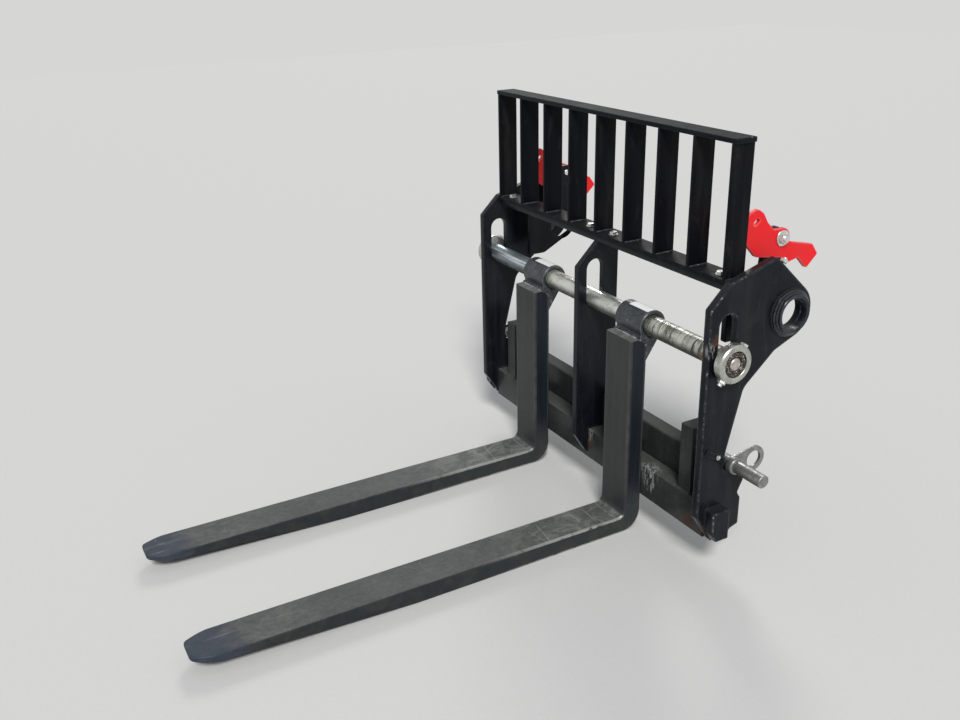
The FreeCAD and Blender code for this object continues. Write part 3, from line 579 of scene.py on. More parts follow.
def shaftSteel(name, look):
    board = Board(name)
    x = board.axes()[0]
    upY, upZ = board.facing()[1:]
    clouds = board.noise(24, 5, 0.66).above(0.5, 0.2)
    fine = board.noise(330, 4, 0.65)
    streaks = board.noise(70, 4, 0.6, (0.03, 1, 1))
    lines = board.noise(175, 4, 0.65, (1, 0.09, 0.09), 0.4)
    wide = board.noise(30, 2, 0.5, (1, 0.1, 0.1), 0.2)
    leftward = 1 - (x + clouds * 0.02).above(look["blueTo"], 0.02)
    rightward = (x + clouds * 0.03).above(look["ringsFrom"], 0.04)
    colour = board.mix(clouds * 0.8, look["bright"], look["stain"])
    blotches = board.noise(44, 6, 0.7, (0.6, 1, 1)).above(0.55, 0.08)
    stained = blotches * 0.65 + rightward * (0.3 + blotches * 0.25)
    colour = board.mix(stained.clamped(), colour, look["mark"])
    drawn = board.mix(streaks.above(0.52, 0.08), look["blue"], look["bright"])
    colour = board.mix(leftward * 0.9, colour, drawn)
    rings = lines.above(0.54, 0.03) * (0.05 + rightward * 0.8) * board.noise(34, 3).above(0.38, 0.12)
    bands = wide.above(0.58, 0.04) * rightward * 0.4
    colour = board.mix((rings + bands).clamped(), colour, look["ring"])
    # Painted shade: the underside is darkened and made less metallic, standing in for the shadow below.
    under = (-upZ).above(-0.02, 0.4) * (0.8 + clouds * 0.2)
    colour = board.mix(under.clamped(), colour, look["grease"])
    rusty = x.above(look["rustFrom"], 0.02) * (-upZ - upY * 0.5).above(0.2, 0.3)
    rusty = rusty * board.noise(60, 5, 0.7).above(0.45, 0.1)
    colour = board.mix((rusty * 0.85).clamped(), colour, look["rust"])
    rough = (0.27 + clouds * 0.14 + rings * 0.2 + rusty * 0.3 + under * 0.2 + fine * 0.08).clamped()
    normal = board.bump(lines, 0.2, 0.0004)
    normal = board.bump(fine, 0.25, 0.0003, normal)
    metallic = (0.85 - rusty * 0.6 - rings * 0.4 - under * 0.7).clamped()
    return board.finish(Base_Color=colour, Roughness=rough, Metallic=metallic, Normal=normal)


# Zinc plate: pale metal with clouded patches, fine turning marks, grime in the roughest spots.
zincLook = {"zinc": (0.6, 0.6, 0.56), "dull": (0.36, 0.36, 0.33), "grime": (0.08, 0.07, 0.055),
            "rough": 0.25, "grimeAt": 0.62, "turning": (1, 0.06, 0.06)}
pinLook = {**zincLook, "zinc": (0.38, 0.385, 0.37), "dull": (0.19, 0.192, 0.185), "rough": 0.3}
boltLook = {**zincLook, "zinc": (0.85, 0.86, 0.85), "dull": (0.6, 0.6, 0.57), "rough": 0.2}


def zincPlate(name, look):
    board = Board(name)
    clouds = board.noise(55, 5, 0.66).above(0.5, 0.18)
    fine = board.noise(600, 3, 0.6)
    turning = board.noise(260, 2, 0.5, look["turning"])
    grime = board.noise(130, 6, 0.72, None, 0.5).above(look["grimeAt"], 0.05)
    grime = (grime * (1 - board.edge() * 0.7)).clamped()
    colour = board.mix(clouds * 0.8, look["zinc"], look["dull"])
    colour = board.mix(grime, colour, look["grime"])
    rough = (look["rough"] + clouds * 0.18 + grime * 0.4 + fine * 0.05).clamped()
    normal = board.bump(turning, 0.12, 0.0003)
    normal = board.bump(board.noise(90, 4, 0.6), 0.15, 0.0006, normal)
    metallic = (0.92 - grime * 0.8).clamped()
    return board.finish(Base_Color=colour, Roughness=rough, Metallic=metallic, Normal=normal)


# Signal red paint: small fade patches, dark chips on the edges, a thin dusting on top.
redLook = {"red": (0.95, 0.012, 0.018), "faded": (0.85, 0.03, 0.035), "line": (0.95, 0.16, 0.17),
           "chip": (0.05, 0.045, 0.045), "dust": (0.5, 0.3, 0.27), "chipAt": 0.7}


def redPaint(name, look):
    board = Board(name)
    upZ = board.facing()[2]
    clouds = board.noise(30, 5, 0.6)
    fine = board.noise(240, 4, 0.6)
    worn = board.edge()
    chips = (worn * board.noise(110, 5, 0.7)).above(look["chipAt"], 0.03)
    dust = (upZ.above(0.6, 0.3) * 0.25 * fine + fine.above(0.66, 0.05) * 0.08).clamped()
    colour = board.mix(clouds.above(0.55, 0.2) * 0.5, look["red"], look["faded"])
    colour = board.mix(worn.above(0.5, 0.2) * 0.5, colour, look["line"])
    colour = board.mix(dust, colour, look["dust"])
    colour = board.mix(chips, colour, look["chip"])
    normal = board.bump(board.noise(260, 2), 0.12, 0.0005)
    rough = (0.3 + clouds * 0.14 + dust * 0.4 + chips * 0.3).clamped()
    return board.finish(Base_Color=colour, Roughness=rough, Normal=normal, Specular_IOR_Level=0.25)


# Bush steel: dark and greasy, with a bright rubbed rim.
bushLook = {"dark": (0.03, 0.027, 0.024), "rubbed": (0.3, 0.28, 0.23), "grease": (0.012, 0.011, 0.01)}


def bushSteel(name, look):
    board = Board(name)
    clouds = board.noise(70, 5, 0.6)
    colour = board.mix(clouds.above(0.5, 0.15), look["dark"], look["grease"])
    rubbed = (board.edge() * (0.3 + clouds)).above(0.7, 0.1)
    colour = board.mix(rubbed, colour, look["rubbed"])
    return board.finish(Base_Color=colour, Roughness=(0.3 + clouds * 0.3).clamped(),
                        Metallic=(0.5 + rubbed * 0.4).clamped(), Normal=board.bump(clouds, 0.3, 0.0006))


# Old welds: rough and dark with pale specks, brown inside the collars and grey on the forks.
weldLook = {"main": (0.06, 0.042, 0.035), "dark": (0.008, 0.007, 0.007), "pale": (0.8, 0.75, 0.7),
            "scale": 90, "shine": 0.4}
paleSeamLook = {"main": (0.5, 0.51, 0.5), "dark": (0.12, 0.125, 0.13), "pale": (0.8, 0.8, 0.78),
            "scale": 60, "shine": 0.4}
paintedLook = {"main": (0.03, 0.034, 0.04), "dark": (0.008, 0.009, 0.012), "pale": (0.34, 0.36, 0.38),
               "scale": 110, "shine": 0.5}
beadLook = {"main": (0.05, 0.053, 0.055), "dark": (0.012, 0.014, 0.017), "pale": (0.55, 0.55, 0.53),
            "scale": 80, "shine": 0.3}


def oldWeld(name, look):
    board = Board(name)
    clouds = board.noise(look["scale"], 6, 0.7)
    fine = board.noise(look["scale"] * 3, 4, 0.7)
    colour = board.mix(clouds.above(0.52, 0.06), look["main"], look["dark"])
    specks = fine.above(0.58, 0.05) * clouds.above(0.46, 0.06) * 0.85
    colour = board.mix(specks, colour, look["pale"])
    normal = board.bump(clouds + fine * 0.5, 0.9, 0.0014)
    return board.finish(Base_Color=colour, Roughness=(0.4 + fine * 0.3).clamped(), Metallic=0.3,
                        Normal=normal, Specular_IOR_Level=look["shine"])


# Sawn shaft end: pale pinkish steel with fine saw marks.
coreLook = {"pale": (0.62, 0.55, 0.51), "dim": (0.42, 0.37, 0.34)}


def sawnSteel(name, look):
    board = Board(name)
    marks = board.noise(240, 3, 0.6, (1, 1, 0.1))
    clouds = board.noise(90, 4, 0.6)
    colour = board.mix(clouds.above(0.5, 0.15), look["pale"], look["dim"])
    return board.finish(Base_Color=colour, Roughness=(0.38 + clouds * 0.2).clamped(), Metallic=0.7,
                        Normal=board.bump(marks, 0.3, 0.0004))


materials = {
    "frame_paint": blackPaint("frame_paint", paintLook),
    "fork_coating": forkCoating("fork_coating", forkLook),
    "shaft_steel": shaftSteel("shaft_steel", shaftLook),
    "zinc_plate": zincPlate("zinc_plate", zincLook),
    "latch_paint": redPaint("latch_paint", redLook),
    "bush_steel": bushSteel("bush_steel", bushLook),
}
finishes = {
    "dusty": ("frame_paint", blackPaint("dusty_paint", dustyLook)),
    "rail": ("frame_paint", blackPaint("rail_paint", railLook)),
    "plate": ("frame_paint", blackPaint("plate_paint", plateLook)),
    "bar": ("frame_paint", blackPaint("bar_paint", barLook)),
    "painted": ("frame_paint", oldWeld("painted_weld", paintedLook)),
    "boss": ("frame_paint", blackPaint("boss_paint", bossLook)),
    "eye_left": ("fork_coating", eyeCoating("eye_coating_left", eyeLook, -0.254)),
    "eye_right": ("fork_coating", eyeCoating("eye_coating_right", eyeLook, 0.216)),
    "bead": ("fork_coating", oldWeld("fork_weld", beadLook)),
    "chips": ("fork_coating", oldWeld("pale_seam_weld", paleSeamLook)),
    "pin": ("zinc_plate", zincPlate("pin_zinc", pinLook)),
    "bolt": ("zinc_plate", zincPlate("bolt_zinc", boltLook)),
    "weld": ("shaft_steel", oldWeld("old_weld", weldLook)),
    "sawn": ("shaft_steel", sawnSteel("sawn_steel", coreLook)),
}
for slot, material in materials.items():
    finishes[slot] = (slot, material)
slotOf = {part["node"]: part["material_slot"] for part in frame["record"]["subparts"]}
for node, thing in frame["nodes"].items():
    thing.data.materials.clear()
    thing.data.materials.append(materials[slotOf[node]])
print("finishes:", len(finishes))


# Sizes of the welded frame in millimetres, as the solids have them
carriage = {"half": 547.5, "plate": 22, "front": -248, "bottom": -583, "noseUp": 48, "toeTop": -503,
            "toeFront": -198, "shaftY": -191, "shaftZ": -84, "travel": 87, "slot": 28, "bore": 40,
            "rest": -206, "barTop": -489, "barRear": -152, "beamRear": -102, "beamTop": -395,
            "topUnder": 79, "footUnder": 94, "restUnder": 106, "lockY": -148, "lockZ": -372,
            "lugFace": 463, "innerThick": 15, "plateEdge": 1.8}
half, front, bottom, lugFace = (carriage[key] for key in ("half", "front", "bottom", "lugFace"))
inner = half - carriage["plate"]
shaftAxis = shaftY, shaftZ = carriage["shaftY"], carriage["shaftZ"]
lockAxis = lockY, lockZ = carriage["lockY"], carriage["lockZ"]
rest, barTop, barRear = (carriage[key] for key in ("rest", "barTop", "barRear"))
beamRear, beamTop, toeTop = (carriage[key] for key in ("beamRear", "beamTop", "toeTop"))
topUnder, footUnder, under = (carriage[key] for key in ("topUnder", "footUnder", "restUnder"))
span = (-inner, inner)
# The corners (y, z) where a plate meets the rest bar and the cross beam
crossWeld = ((rest, barTop), (barRear, barTop), (barRear, beamTop))


def between(sign, first, second):
    # The two ends of a span on one side of the middle, lowest first.
    return sorted((sign * first, sign * second))


def mirrored(profile, sign):
    # The profile on its side of the middle, in the order that keeps its faces outwards.
    return [(sign * along, radius, worn) for along, radius, worn in profile][::sign]


def weldPath(x, *corners):
    # Corners (y, z) in the plane at x.
    return [(x, y, z) for y, z in corners]


def tilted(place, degrees, points):
    # Points (along, up), turned about the place.
    turn = math.radians(degrees)
    along, upward = (math.cos(turn), math.sin(turn)), (-math.sin(turn), math.cos(turn))
    return np.array(place) + np.array(points, float) @ np.array([along, upward])


# Side plates: nose, shoulder, crown, lobe round the bore, waist, hook for the locking pin and heel
sidePlate = {"corner": 3, "nose": 5, "shoulder": 8, "crown": 10, "lobe": 71, "waist": 40, "hook": 24,
             "fade": 6, "finish": {"left": "frame_paint", "right": "plate"}}


def sidePlateOutline(look):
    c, r = look["corner"], look["hook"]
    lip = lockZ - r
    return roundedLoop([
        (front, toeTop, c), (front, carriage["noseUp"], look["nose"]), (-189, 106, look["shoulder"]),
        (-53, 146, look["crown"]), (131, -23.5, look["lobe"]), (-36, -92, 14), (-127, -171, look["waist"]),
        (lockY - r, lockZ + r, 10), (lockY - r, lip, r * 0.98), (-102, lip, 4), (-102, lip - 37, 6),
        (-118, lip - 69, 10), (-107, -482, 8), (-107, -559, 5), (-132, -567, 5), (-150, bottom, 5),
        (carriage["toeFront"], bottom, 5)], 6)


shaftSlot = slotLoop(shaftY, shaftZ, shaftZ + carriage["travel"], carriage["slot"])
coupling = circleLoop(0, 0, carriage["bore"], 64)
plateOutline = sidePlateOutline(sidePlate)
plateHoles = [shaftSlot, coupling]
for side, sign in sides.items():
    low, high = between(sign, inner, half)
    plate = slab(plateOutline, low, high, "x", plateHoles, carriage["plateEdge"], sidePlate["fade"])
    face = sign * inner
    frameWeld = weldPath(face, (rest, bottom + 12), *crossWeld, (beamRear, beamTop))
    footWeld = weldPath(face, (-186, topUnder + 1), (-186, footUnder - 1), (-190, footUnder + 2),
                        (-190, under), (-126, under))
    topWeld = weldPath(face, (-184, topUnder), (-102, topUnder))
    shells = [plate, bead(frameWeld, 3.6, seed=11), bead(footWeld, 2.6, seed=12),
              bead(topWeld, 3.2, seed=13)]
    makePiece("sidePlate_" + side, shells, sidePlate["finish"][side], "carriage", ["side_plate_" + side])
print("side plates")

# Coupling bosses: a thick ring in three steps, welded to the plate
boss = {"outer": 59, "steps": ((9, 59), (14, 54.5), (20, 50)), "mouth": 43, "inside": 40.3}
for side, sign in sides.items():
    profile, before = [(half + 0.2, boss["outer"], 0)], 0
    for high, radius in boss["steps"]:
        profile += [(half + before + 0.8, radius, 0.5), (half + high - 1.6, radius, 0.5),
                    (half + high, radius - 1.6, 1)]
        before = high
    profile += [(half + before, boss["mouth"] + 1, 0.6), (half + before - 2, boss["inside"], 1),
                (half + 0.2, boss["inside"], 0)]
    seam = weldPath(sign * (half + 0.5), *circleLoop(0, 0, boss["outer"] + 0.5, 72))
    shells = [turned(mirrored(profile, sign), (0, 0), "x", 72, True), bead(seam, 3, 6, True, 3)]
    makePiece("couplerBoss_" + side, shells, "boss", "carriage", ["coupler_boss_" + side])

# Inner coupling plates, each with the ear for its latch bolt
innerPlate = {"earAt": (18, 168), "bolt": 9.4}
earAxis = earY, earZ = innerPlate["earAt"]
innerOutline = roundedLoop([
    (-122, topUnder, 3), (-122, -83, 6), (-66, -83, 30), (63.4, -16, 60), (60, 60, 30), (41, 120, 40),
    (41, 191, 22.5), (-8, 191, 22.5), (-20, footUnder, 6), (-20, topUnder, 2)], 6)
earHole = circleLoop(*earAxis, innerPlate["bolt"], 32)
for side, sign in sides.items():
    low, high = between(sign, lugFace - carriage["innerThick"], lugFace)
    plate = slab(innerOutline, low, high, "x", [coupling, earHole], 1.5, 5)
    makePiece("innerPlate_" + side, [plate], "frame_paint", "carriage", ["inner_plate_" + side])

# Centre plate
centre = {"half": 10, "rear": -114, "noseUp": 14, "foot": -570.2}
centreHalf, centreRear = centre["half"], centre["rear"]
centreOutline = roundedLoop([
    (front, toeTop, 3), (front, centre["noseUp"], 6), (-183, topUnder, 3), (centreRear, topUnder, 3),
    (centreRear, beamTop, 4), (barRear, beamTop, 2), (barRear, barTop, 2), (rest, barTop, 2),
    (rest, centre["foot"], 3)], 8)
shells = [slab(centreOutline, -centreHalf, centreHalf, "x", [shaftSlot], 1.6, 1.8)]
for sign in (-1, 1):
    face = sign * centreHalf
    frameWeld = weldPath(face, (rest, centre["foot"] + 6), *crossWeld, (centreRear - 3, beamTop))
    topWeld = weldPath(face, (-182, topUnder), (centreRear, topUnder))
    shells += [bead(frameWeld, 3.4, seed=21 + sign), bead(topWeld, 3, seed=24 + sign)]
makePiece("centrePlate", shells, "frame_paint", "carriage", ["centre_plate"])

# Rest bar, cross beam and top plate
makePiece("restBar", [block(span, (rest, barRear), (bottom, barTop), "x", 2.4, 5, 3)], "dusty", "carriage",
          ["rest_bar"])
beam = {"wall": 8, "corner": 9, "inside": 3}
wall, c, r = beam["wall"], beam["inside"], beam["corner"]
beamLoop = roundedLoop([(barRear, bottom, c), (beamRear, bottom, r), (beamRear, beamTop, r),
                        (barRear, beamTop, r)], 12)
beamHole = roundedLoop([(barRear + wall, bottom + wall, c), (beamRear - wall, bottom + wall, c),
                        (beamRear - wall, beamTop - wall, c), (barRear + wall, beamTop - wall, c)], 12)
makePiece("crossBeam", [slab(beamLoop, *span, "x", [beamHole], 1, 1.5)], "dusty", "carriage", ["cross_beam"])
topPlate = block(span, (-187, -101), (topUnder, footUnder), "x", 1.5, 3, 2)
makePiece("topPlate", [topPlate], "frame_paint", "carriage", ["top_plate"])

# Guide blocks, bored for the locking pins
guide = {"wide": 48, "front": -201, "rear": -124, "top": -300, "bore": 17.3}
guideFront, guideRear = guide["front"], guide["rear"]
guideOutline = roundedLoop([
    (guideFront, barTop, 2), (barRear, barTop, 2), (barRear, beamTop, 2), (guideRear, beamTop, 2),
    (guideRear, guide["top"], 5), (guideFront, guide["top"], 5)], 10)
lockBore = circleLoop(*lockAxis, guide["bore"], 40)
guideWeld = ((guideFront, barTop), *crossWeld[1:], (guideRear, beamTop))
for side, sign in sides.items():
    low, high = between(sign, lugFace - guide["wide"], lugFace)
    shells = [slab(guideOutline, low, high, "x", [lockBore], 2, 3)]
    shells += [bead(weldPath(face, *guideWeld), 3, seed=31) for face in (low, high)]
    shells.append(bead([(low, guideFront, barTop), (high, guideFront, barTop)], 3.2, seed=32))
    makePiece("guideBlock_" + side, shells, "dusty", "carriage", ["guide_block_" + side])
print("cross members")

# Wear feet, cut off along the plates' toes
wearFoot = {"thick": 31, "front": -221, "rear": -167, "low": -569, "top": -485, "toeHigh": -546.2,
            "toeLow": -206.75}
footFront, footRear, footLow, footTop = (wearFoot[key] for key in ("front", "rear", "low", "top"))
footLoop = roundedLoop([(wearFoot["toeLow"], footLow, 3), (footRear, footLow, 3), (footRear, footTop, 4),
                        (footFront, footTop, 4), (footFront, wearFoot["toeHigh"], 3)], 15)
for side, sign in sides.items():
    low, high = between(sign, half, half + wearFoot["thick"])
    seam = weldPath(sign * half, *insetLoop(footLoop, -0.5))
    shells = [slab(footLoop, low, high, "x", (), 3, 4), bead(seam, 3, 6, True, 41)]
    makePiece("wearFoot_" + side, shells, "plate", "carriage", ["wear_foot_" + side])

# Load backrest. Each flat stands on the foot plate between two welds.
backrest = {"half": 520.5, "bars": 9, "thick": 10, "deep": 61, "footDeep": 67, "rail": 12, "overhang": 6,
            "top": 420, "boltAcross": (-478.5, -53, 53, 478.5), "boltBack": 26, "boltRadius": 10.5}
backHalf, backTop = backrest["half"], backrest["top"]
deep = (shaftY, shaftY + backrest["deep"])
weldFront, weldRear = deep[0] + 3, deep[1] - 3
foot = block(span, (shaftY, shaftY + backrest["footDeep"]), (footUnder, under), "x", 1.5, 3, 2)
makePiece("backrestFoot", [foot], "bar", "carriage", ["backrest_foot"])
pitch = (2 * backHalf - backrest["thick"]) / (backrest["bars"] - 1)
feet = []
for index in range(backrest["bars"]):
    left = -backHalf + pitch * index
    right = left + backrest["thick"]
    shells = [block((left, right), deep, (under, backTop), "z", 1.2, 2.5, 1.6)]
    for level, group in ((under, feet), (backTop, shells)):
        for face in (left, right):
            group.append(bead([(face, weldFront, level), (face, weldRear, level)], 2.3, seed=50 + index))
    makePiece("backrestBar_%d" % (index + 1), shells, "bar", "carriage", ["backrest_bar_%d" % (index + 1)])
makePiece("backrestWelds", feet, "painted", "carriage")
railHalf = backHalf + backrest["overhang"]
rail = block((-railHalf, railHalf), deep, (backTop, backTop + backrest["rail"]), "z", 1.6, 4, 3)
makePiece("backrestRail", [rail], "rail", "carriage", ["backrest_rail"])
bolts = []
for across in backrest["boltAcross"]:
    bolts += hexBolt((across, shaftY + backrest["boltBack"]), under, backrest["boltRadius"], 9, "z", 13, 2)
makePiece("backrestBolts", bolts, "bolt", "carriage", ["backrest_bolts"])
print("backrest")

# Fork shaft, and at each end a collar, its cross bolt, the sawn end and the weld round that
shaft = {"end": 574.5, "radius": 27, "cut": 1.5}
end, radius, cut = shaft["end"], shaft["radius"], shaft["cut"]
shaftProfile = [(-end, radius - cut, 1), (-end + cut, radius, 1), (-end + 6, radius, 0),
                (end - 6, radius, 0), (end - cut, radius, 1), (end, radius - cut, 1)]
makePiece("forkShaft", [turned(shaftProfile, shaftAxis, "x", 96)], "shaft_steel", "shaft", ["fork_shaft"])
collar = {"outer": 49, "recess": 33, "inside": 27.1, "deep": 7, "thick": 24, "gap": 10, "boltAngle": 52,
          "flats": 10.6, "head": (45, 54), "nut": (47, 55.5), "stub": (55.5, 63), "core": 15.5,
          "welds": ((24.5, 6.2, 9, 5), (31.5, 2.6, 6, 8))}


def radialBolt(x, centre, angle, spans):
    # Prisms and rods that stand out from a point at an angle: each is turned in the plane of y and z
    # by that angle, after it is made along z.
    shells, turn = [], math.radians(angle - 90)
    for count, radius, low, high in spans:
        if count == 6:
            points, faces, edges = slab(circleLoop(x, 0, radius, 6, 10), low, high, "z", (), 1.2, 1.5)
        else:
            rod = [(low, radius - 0.8, 1), (low + 0.8, radius, 1), (high - 0.8, radius, 1),
                   (high, radius - 1.2, 1)]
            points, faces, edges = turned(rod, (x, 0), "z", count)
        y = points[:, 1] * math.cos(turn) - points[:, 2] * math.sin(turn)
        z = points[:, 1] * math.sin(turn) + points[:, 2] * math.cos(turn)
        shells.append((np.stack([points[:, 0], centre[0] + y, centre[1] + z], 1), faces, edges))
    return shells


for side, sign in sides.items():
    near = half + collar["gap"]
    far = near + collar["thick"]
    seat = far - collar["deep"]
    outer, recess, inside = collar["outer"], collar["recess"], collar["inside"]
    profile = [(near, outer - 2, 1), (near + 2, outer, 1), (near + 5, outer, 0), (far - 6, outer, 0),
               (far - 3, outer, 1), (far, outer - 3, 1), (far, outer - 5, 0), (far, recess + 3, 0),
               (far, recess + 1, 1), (far - 1, recess, 1), (seat, recess, 0), (seat, inside, 0),
               (near, inside, 0), (near, 30, 0)]
    ring = turned(mirrored(profile, sign), shaftAxis, "x", 96, True)
    makePiece("shaftCollar_" + side, [ring], "zinc_plate", "shaft", ["shaft_collar_" + side])
    middle = sign * (near + far) / 2
    shells = radialBolt(middle, shaftAxis, collar["boltAngle"], [(6, collar["flats"], *collar["head"])])
    shells += radialBolt(middle, shaftAxis, collar["boltAngle"] + 180,
                         [(6, collar["flats"], *collar["nut"]), (24, 6, *collar["stub"])])
    makePiece("collarBolt_" + side, shells, "bolt", "shaft", ["collar_bolt_" + side])
    rings = [bead(weldPath(sign * seat, *circleLoop(*shaftAxis, ringRadius, 45)), thick, scallop, True, seed)
             for ringRadius, thick, scallop, seed in collar["welds"]]
    makePiece("shaftEndWeld_" + side, rings, "weld", "shaft")
    low, high = between(sign, seat, far - 1.5)
    wide = collar["core"]
    core = [(low, 14, 0), (low + 2, wide, 1), (high - 2, wide, 1), (high, 13.5, 1)]
    makePiece("shaftCore_" + side, [turned(core, shaftAxis, "x", 40)], "sawn", "shaft")

# On the slope behind each side plate's crown stands a small nut on its stud.
crownNut = {"x": 536, "at": (-24.5, 127.6), "angle": 57.3, "nut": (10, -1, 8), "stub": (5, 7, 12)}
for side, sign in sides.items():
    spans = [(6, *crownNut["nut"]), (24, *crownNut["stub"])]
    shells = radialBolt(sign * crownNut["x"], crownNut["at"], crownNut["angle"], spans)
    makePiece("crownNut_" + side, shells, "bolt", "carriage")
print("shaft")

# Forks. The bar's outer line runs down the shank's rear, round the heel and out under the blade, and
# its inner line down the face, round the crotch and along the tread. At each station the section
# between them is a rectangle with rounded corners, so a point is the outer line plus its share of the
# way to the inner one. Over the last stretch the half width falls with the distance to the power 1.6.
fork = {"width": 110, "face": -260, "rear": -207, "top": -115, "sole": -688, "tread": -638, "crotch": 22,
        "heel": 55, "tip": -1460, "tipThick": 17, "taper": 560, "tipRound": 62, "tipIn": 23, "tipPower": 1.6,
        "tipCorner": 7, "tipEase": 2.2, "topEase": 2.6, "corner": 5, "lift": 6, "liftFrom": 26, "eye": 41,
        "bore": 32.2, "neckDrop": 95, "gussetIn": 1.6, "bladeBelow": -600,
        "middles": {"left": -254, "right": 216}}


def forkLines(look):
    tip, tread, sole, heel, crotch = (look[key] for key in ("tip", "tread", "sole", "heel", "crotch"))
    shank = look["top"] - np.array([0.0, 0.35, 1.2, 2.6, 4, 9, 40, 150, 300, 410, 440, 470])
    knee, bend = tip + look["taper"], look["tipRound"]
    out = np.concatenate([np.linspace(look["face"] - crotch - 20, knee + 30, 14),
                          np.linspace(knee, tip + bend + 4, 14),
                          tip + bend * (1 - np.sin(np.radians(np.linspace(2, 90, 24))))])
    lower = sole + np.clip((knee - out) / look["taper"], 0, 1) * (tread - look["tipThick"] - sole)
    lower += look["lift"] * np.clip((tip + look["liftFrom"] - out) / look["liftFrom"], 0, 1)
    quarter = (0, -math.pi / 2, 15)
    outer = [np.stack([np.full(len(shank), look["rear"]), shank], 1),
             arcLine((look["rear"] - heel, sole + heel), heel, *quarter), np.stack([out, lower], 1)]
    facing = [np.stack([np.full(len(shank), look["face"]), shank], 1),
              arcLine((look["face"] - crotch, tread + crotch), crotch, *quarter),
              np.stack([out, np.full(len(out), tread)], 1)]
    return np.concatenate(outer), np.concatenate(facing)


def fallen(share):
    # How far a quarter circle of radius 1 has fallen at this share of its radius.
    return 1 - np.sqrt(np.clip(1 - share ** 2, 0, 1))


def forkBar(look, middle):
    outer, facing = forkLines(look)
    across = facing - outer
    thick = np.linalg.norm(across, axis=1)
    across /= thick[:, None]
    y, tip, tipCorner = outer[:, 0], look["tip"], look["tipCorner"]
    isBlade = (y < look["face"]) & (outer[:, 1] < look["bladeBelow"])
    toTip = np.clip((tip + look["tipRound"] - y) / look["tipRound"], 0, 1) * isBlade
    atCorner = np.clip((tip + tipCorner - y) / tipCorner, 0, 1) * isBlade
    atTop = np.clip(1 - (look["top"] - outer[:, 1]) / look["topEase"], 0, 1)
    wide = look["width"] / 2 - look["tipIn"] * toTip ** look["tipPower"] - tipCorner * fallen(atCorner)
    squeeze = look["tipEase"] * fallen(atCorner) + look["topEase"] * fallen(atTop)
    corner = np.minimum(look["corner"], thick * 0.25)
    extra = np.minimum(5.0, (thick / 2 - squeeze - corner) * 0.8)
    quarter = np.radians([0, 22.5, 45, 67.5, 90])
    u, v, worn = [], [], []
    for signU, signV, flip in ((1, 0, False), (1, 1, True), (-1, 1, False), (-1, 0, True)):
        for angle in quarter[::-1] if flip else quarter:
            u.append(signU * (wide - squeeze - corner + corner * math.sin(angle)))
            edge = squeeze + corner - corner * math.cos(angle)
            v.append(thick - edge if signV else edge)
            worn.append(1.0)
        if not flip:
            u += [u[-1], u[-1]]
            first = squeeze + corner + extra
            v += [first, thick - first] if signV == 0 else [thick - first, first]
        else:
            flat = signU * (wide - squeeze - corner - extra)
            u += [flat, -flat]
            v += [v[-1], v[-1]]
        worn += [0.0, 0.0]
    u, v = np.stack(u, 1), np.stack(v, 1)
    points = np.stack([middle + u, outer[:, :1] + across[:, :1] * v, outer[:, 1:] + across[:, 1:] * v], -1)
    return points.reshape(-1, 3), wrapped(*u.shape), np.tile(np.array(worn), len(u))


def forkGusset(look, middle):
    # The web between the eye and the shank: the neck in front, and behind it a line from the shank's
    # rear that touches the eye.
    gusset = (look["rear"], shaftZ - look["neckDrop"])
    reach = math.hypot(gusset[0] - shaftY, gusset[1] - shaftZ)
    touch = math.atan2(gusset[1] - shaftZ, gusset[0] - shaftY) + math.acos(look["eye"] / reach)
    ring = arcLine(shaftAxis, look["eye"] - 2, touch, math.pi + 0.3, 40)
    neck = roundedLoop([(-227, -100, 0), (-228, -110, 3), (-240, -117, 0), (-240, -140, 0),
                        (-212, -200, 0)], 12)
    foot = [[look["rear"] - 8, gusset[1] - 6], [look["rear"] + 0.3, gusset[1]]]
    outline = np.concatenate([ring, neck[:-1], foot])
    wide = look["width"] / 2 - look["gussetIn"]
    hole = circleLoop(*shaftAxis, look["bore"] + 2, 48)
    return slab(outline, middle - wide, middle + wide, "x", [hole], 1.8, 2.5)


for side, middle in fork["middles"].items():
    body = "fork_" + side
    low, high = middle - fork["width"] / 2, middle + fork["width"] / 2
    makePiece("forkBar_" + side, [forkBar(fork, middle)], "fork_coating", body, ["fork_" + side], 32)
    eye = turned(ringProfile(low, high, fork["bore"], fork["eye"], 1.6), shaftAxis, "x", 96, True)
    makePiece("forkEye_" + side, [eye, forkGusset(fork, middle)], "eye_" + side, body)
    beads = [bead([(low + 3, -230, -114), (high - 3, -230, -114)], 5.5, 7, False, 61)]
    for face in (low + 1.5, high - 1.5):
        beads.append(bead(weldPath(face, (-232, -115), (-214, -127), (-208, -150)), 3.5, 6, False, 62))
    makePiece("forkWeld_" + side, beads, "bead", body)
    # A pale grey seam along the weld at the shank's top front edge.
    paleSeam = bead([(low + 12, -236, -113.8), (high - 4, -235, -113.8)], 1.5, seed=63)
    makePiece("forkWeldEdge_" + side, [paleSeam], "chips", body)
    bush = turned(ringProfile(middle - 52, middle + 52, 27.05, 32.05, 0.8), shaftAxis, "x", 72, True)
    makePiece("forkBush_" + side, [bush], "bush_steel", "bush_" + side, ["fork_bush_" + side])
print("forks")

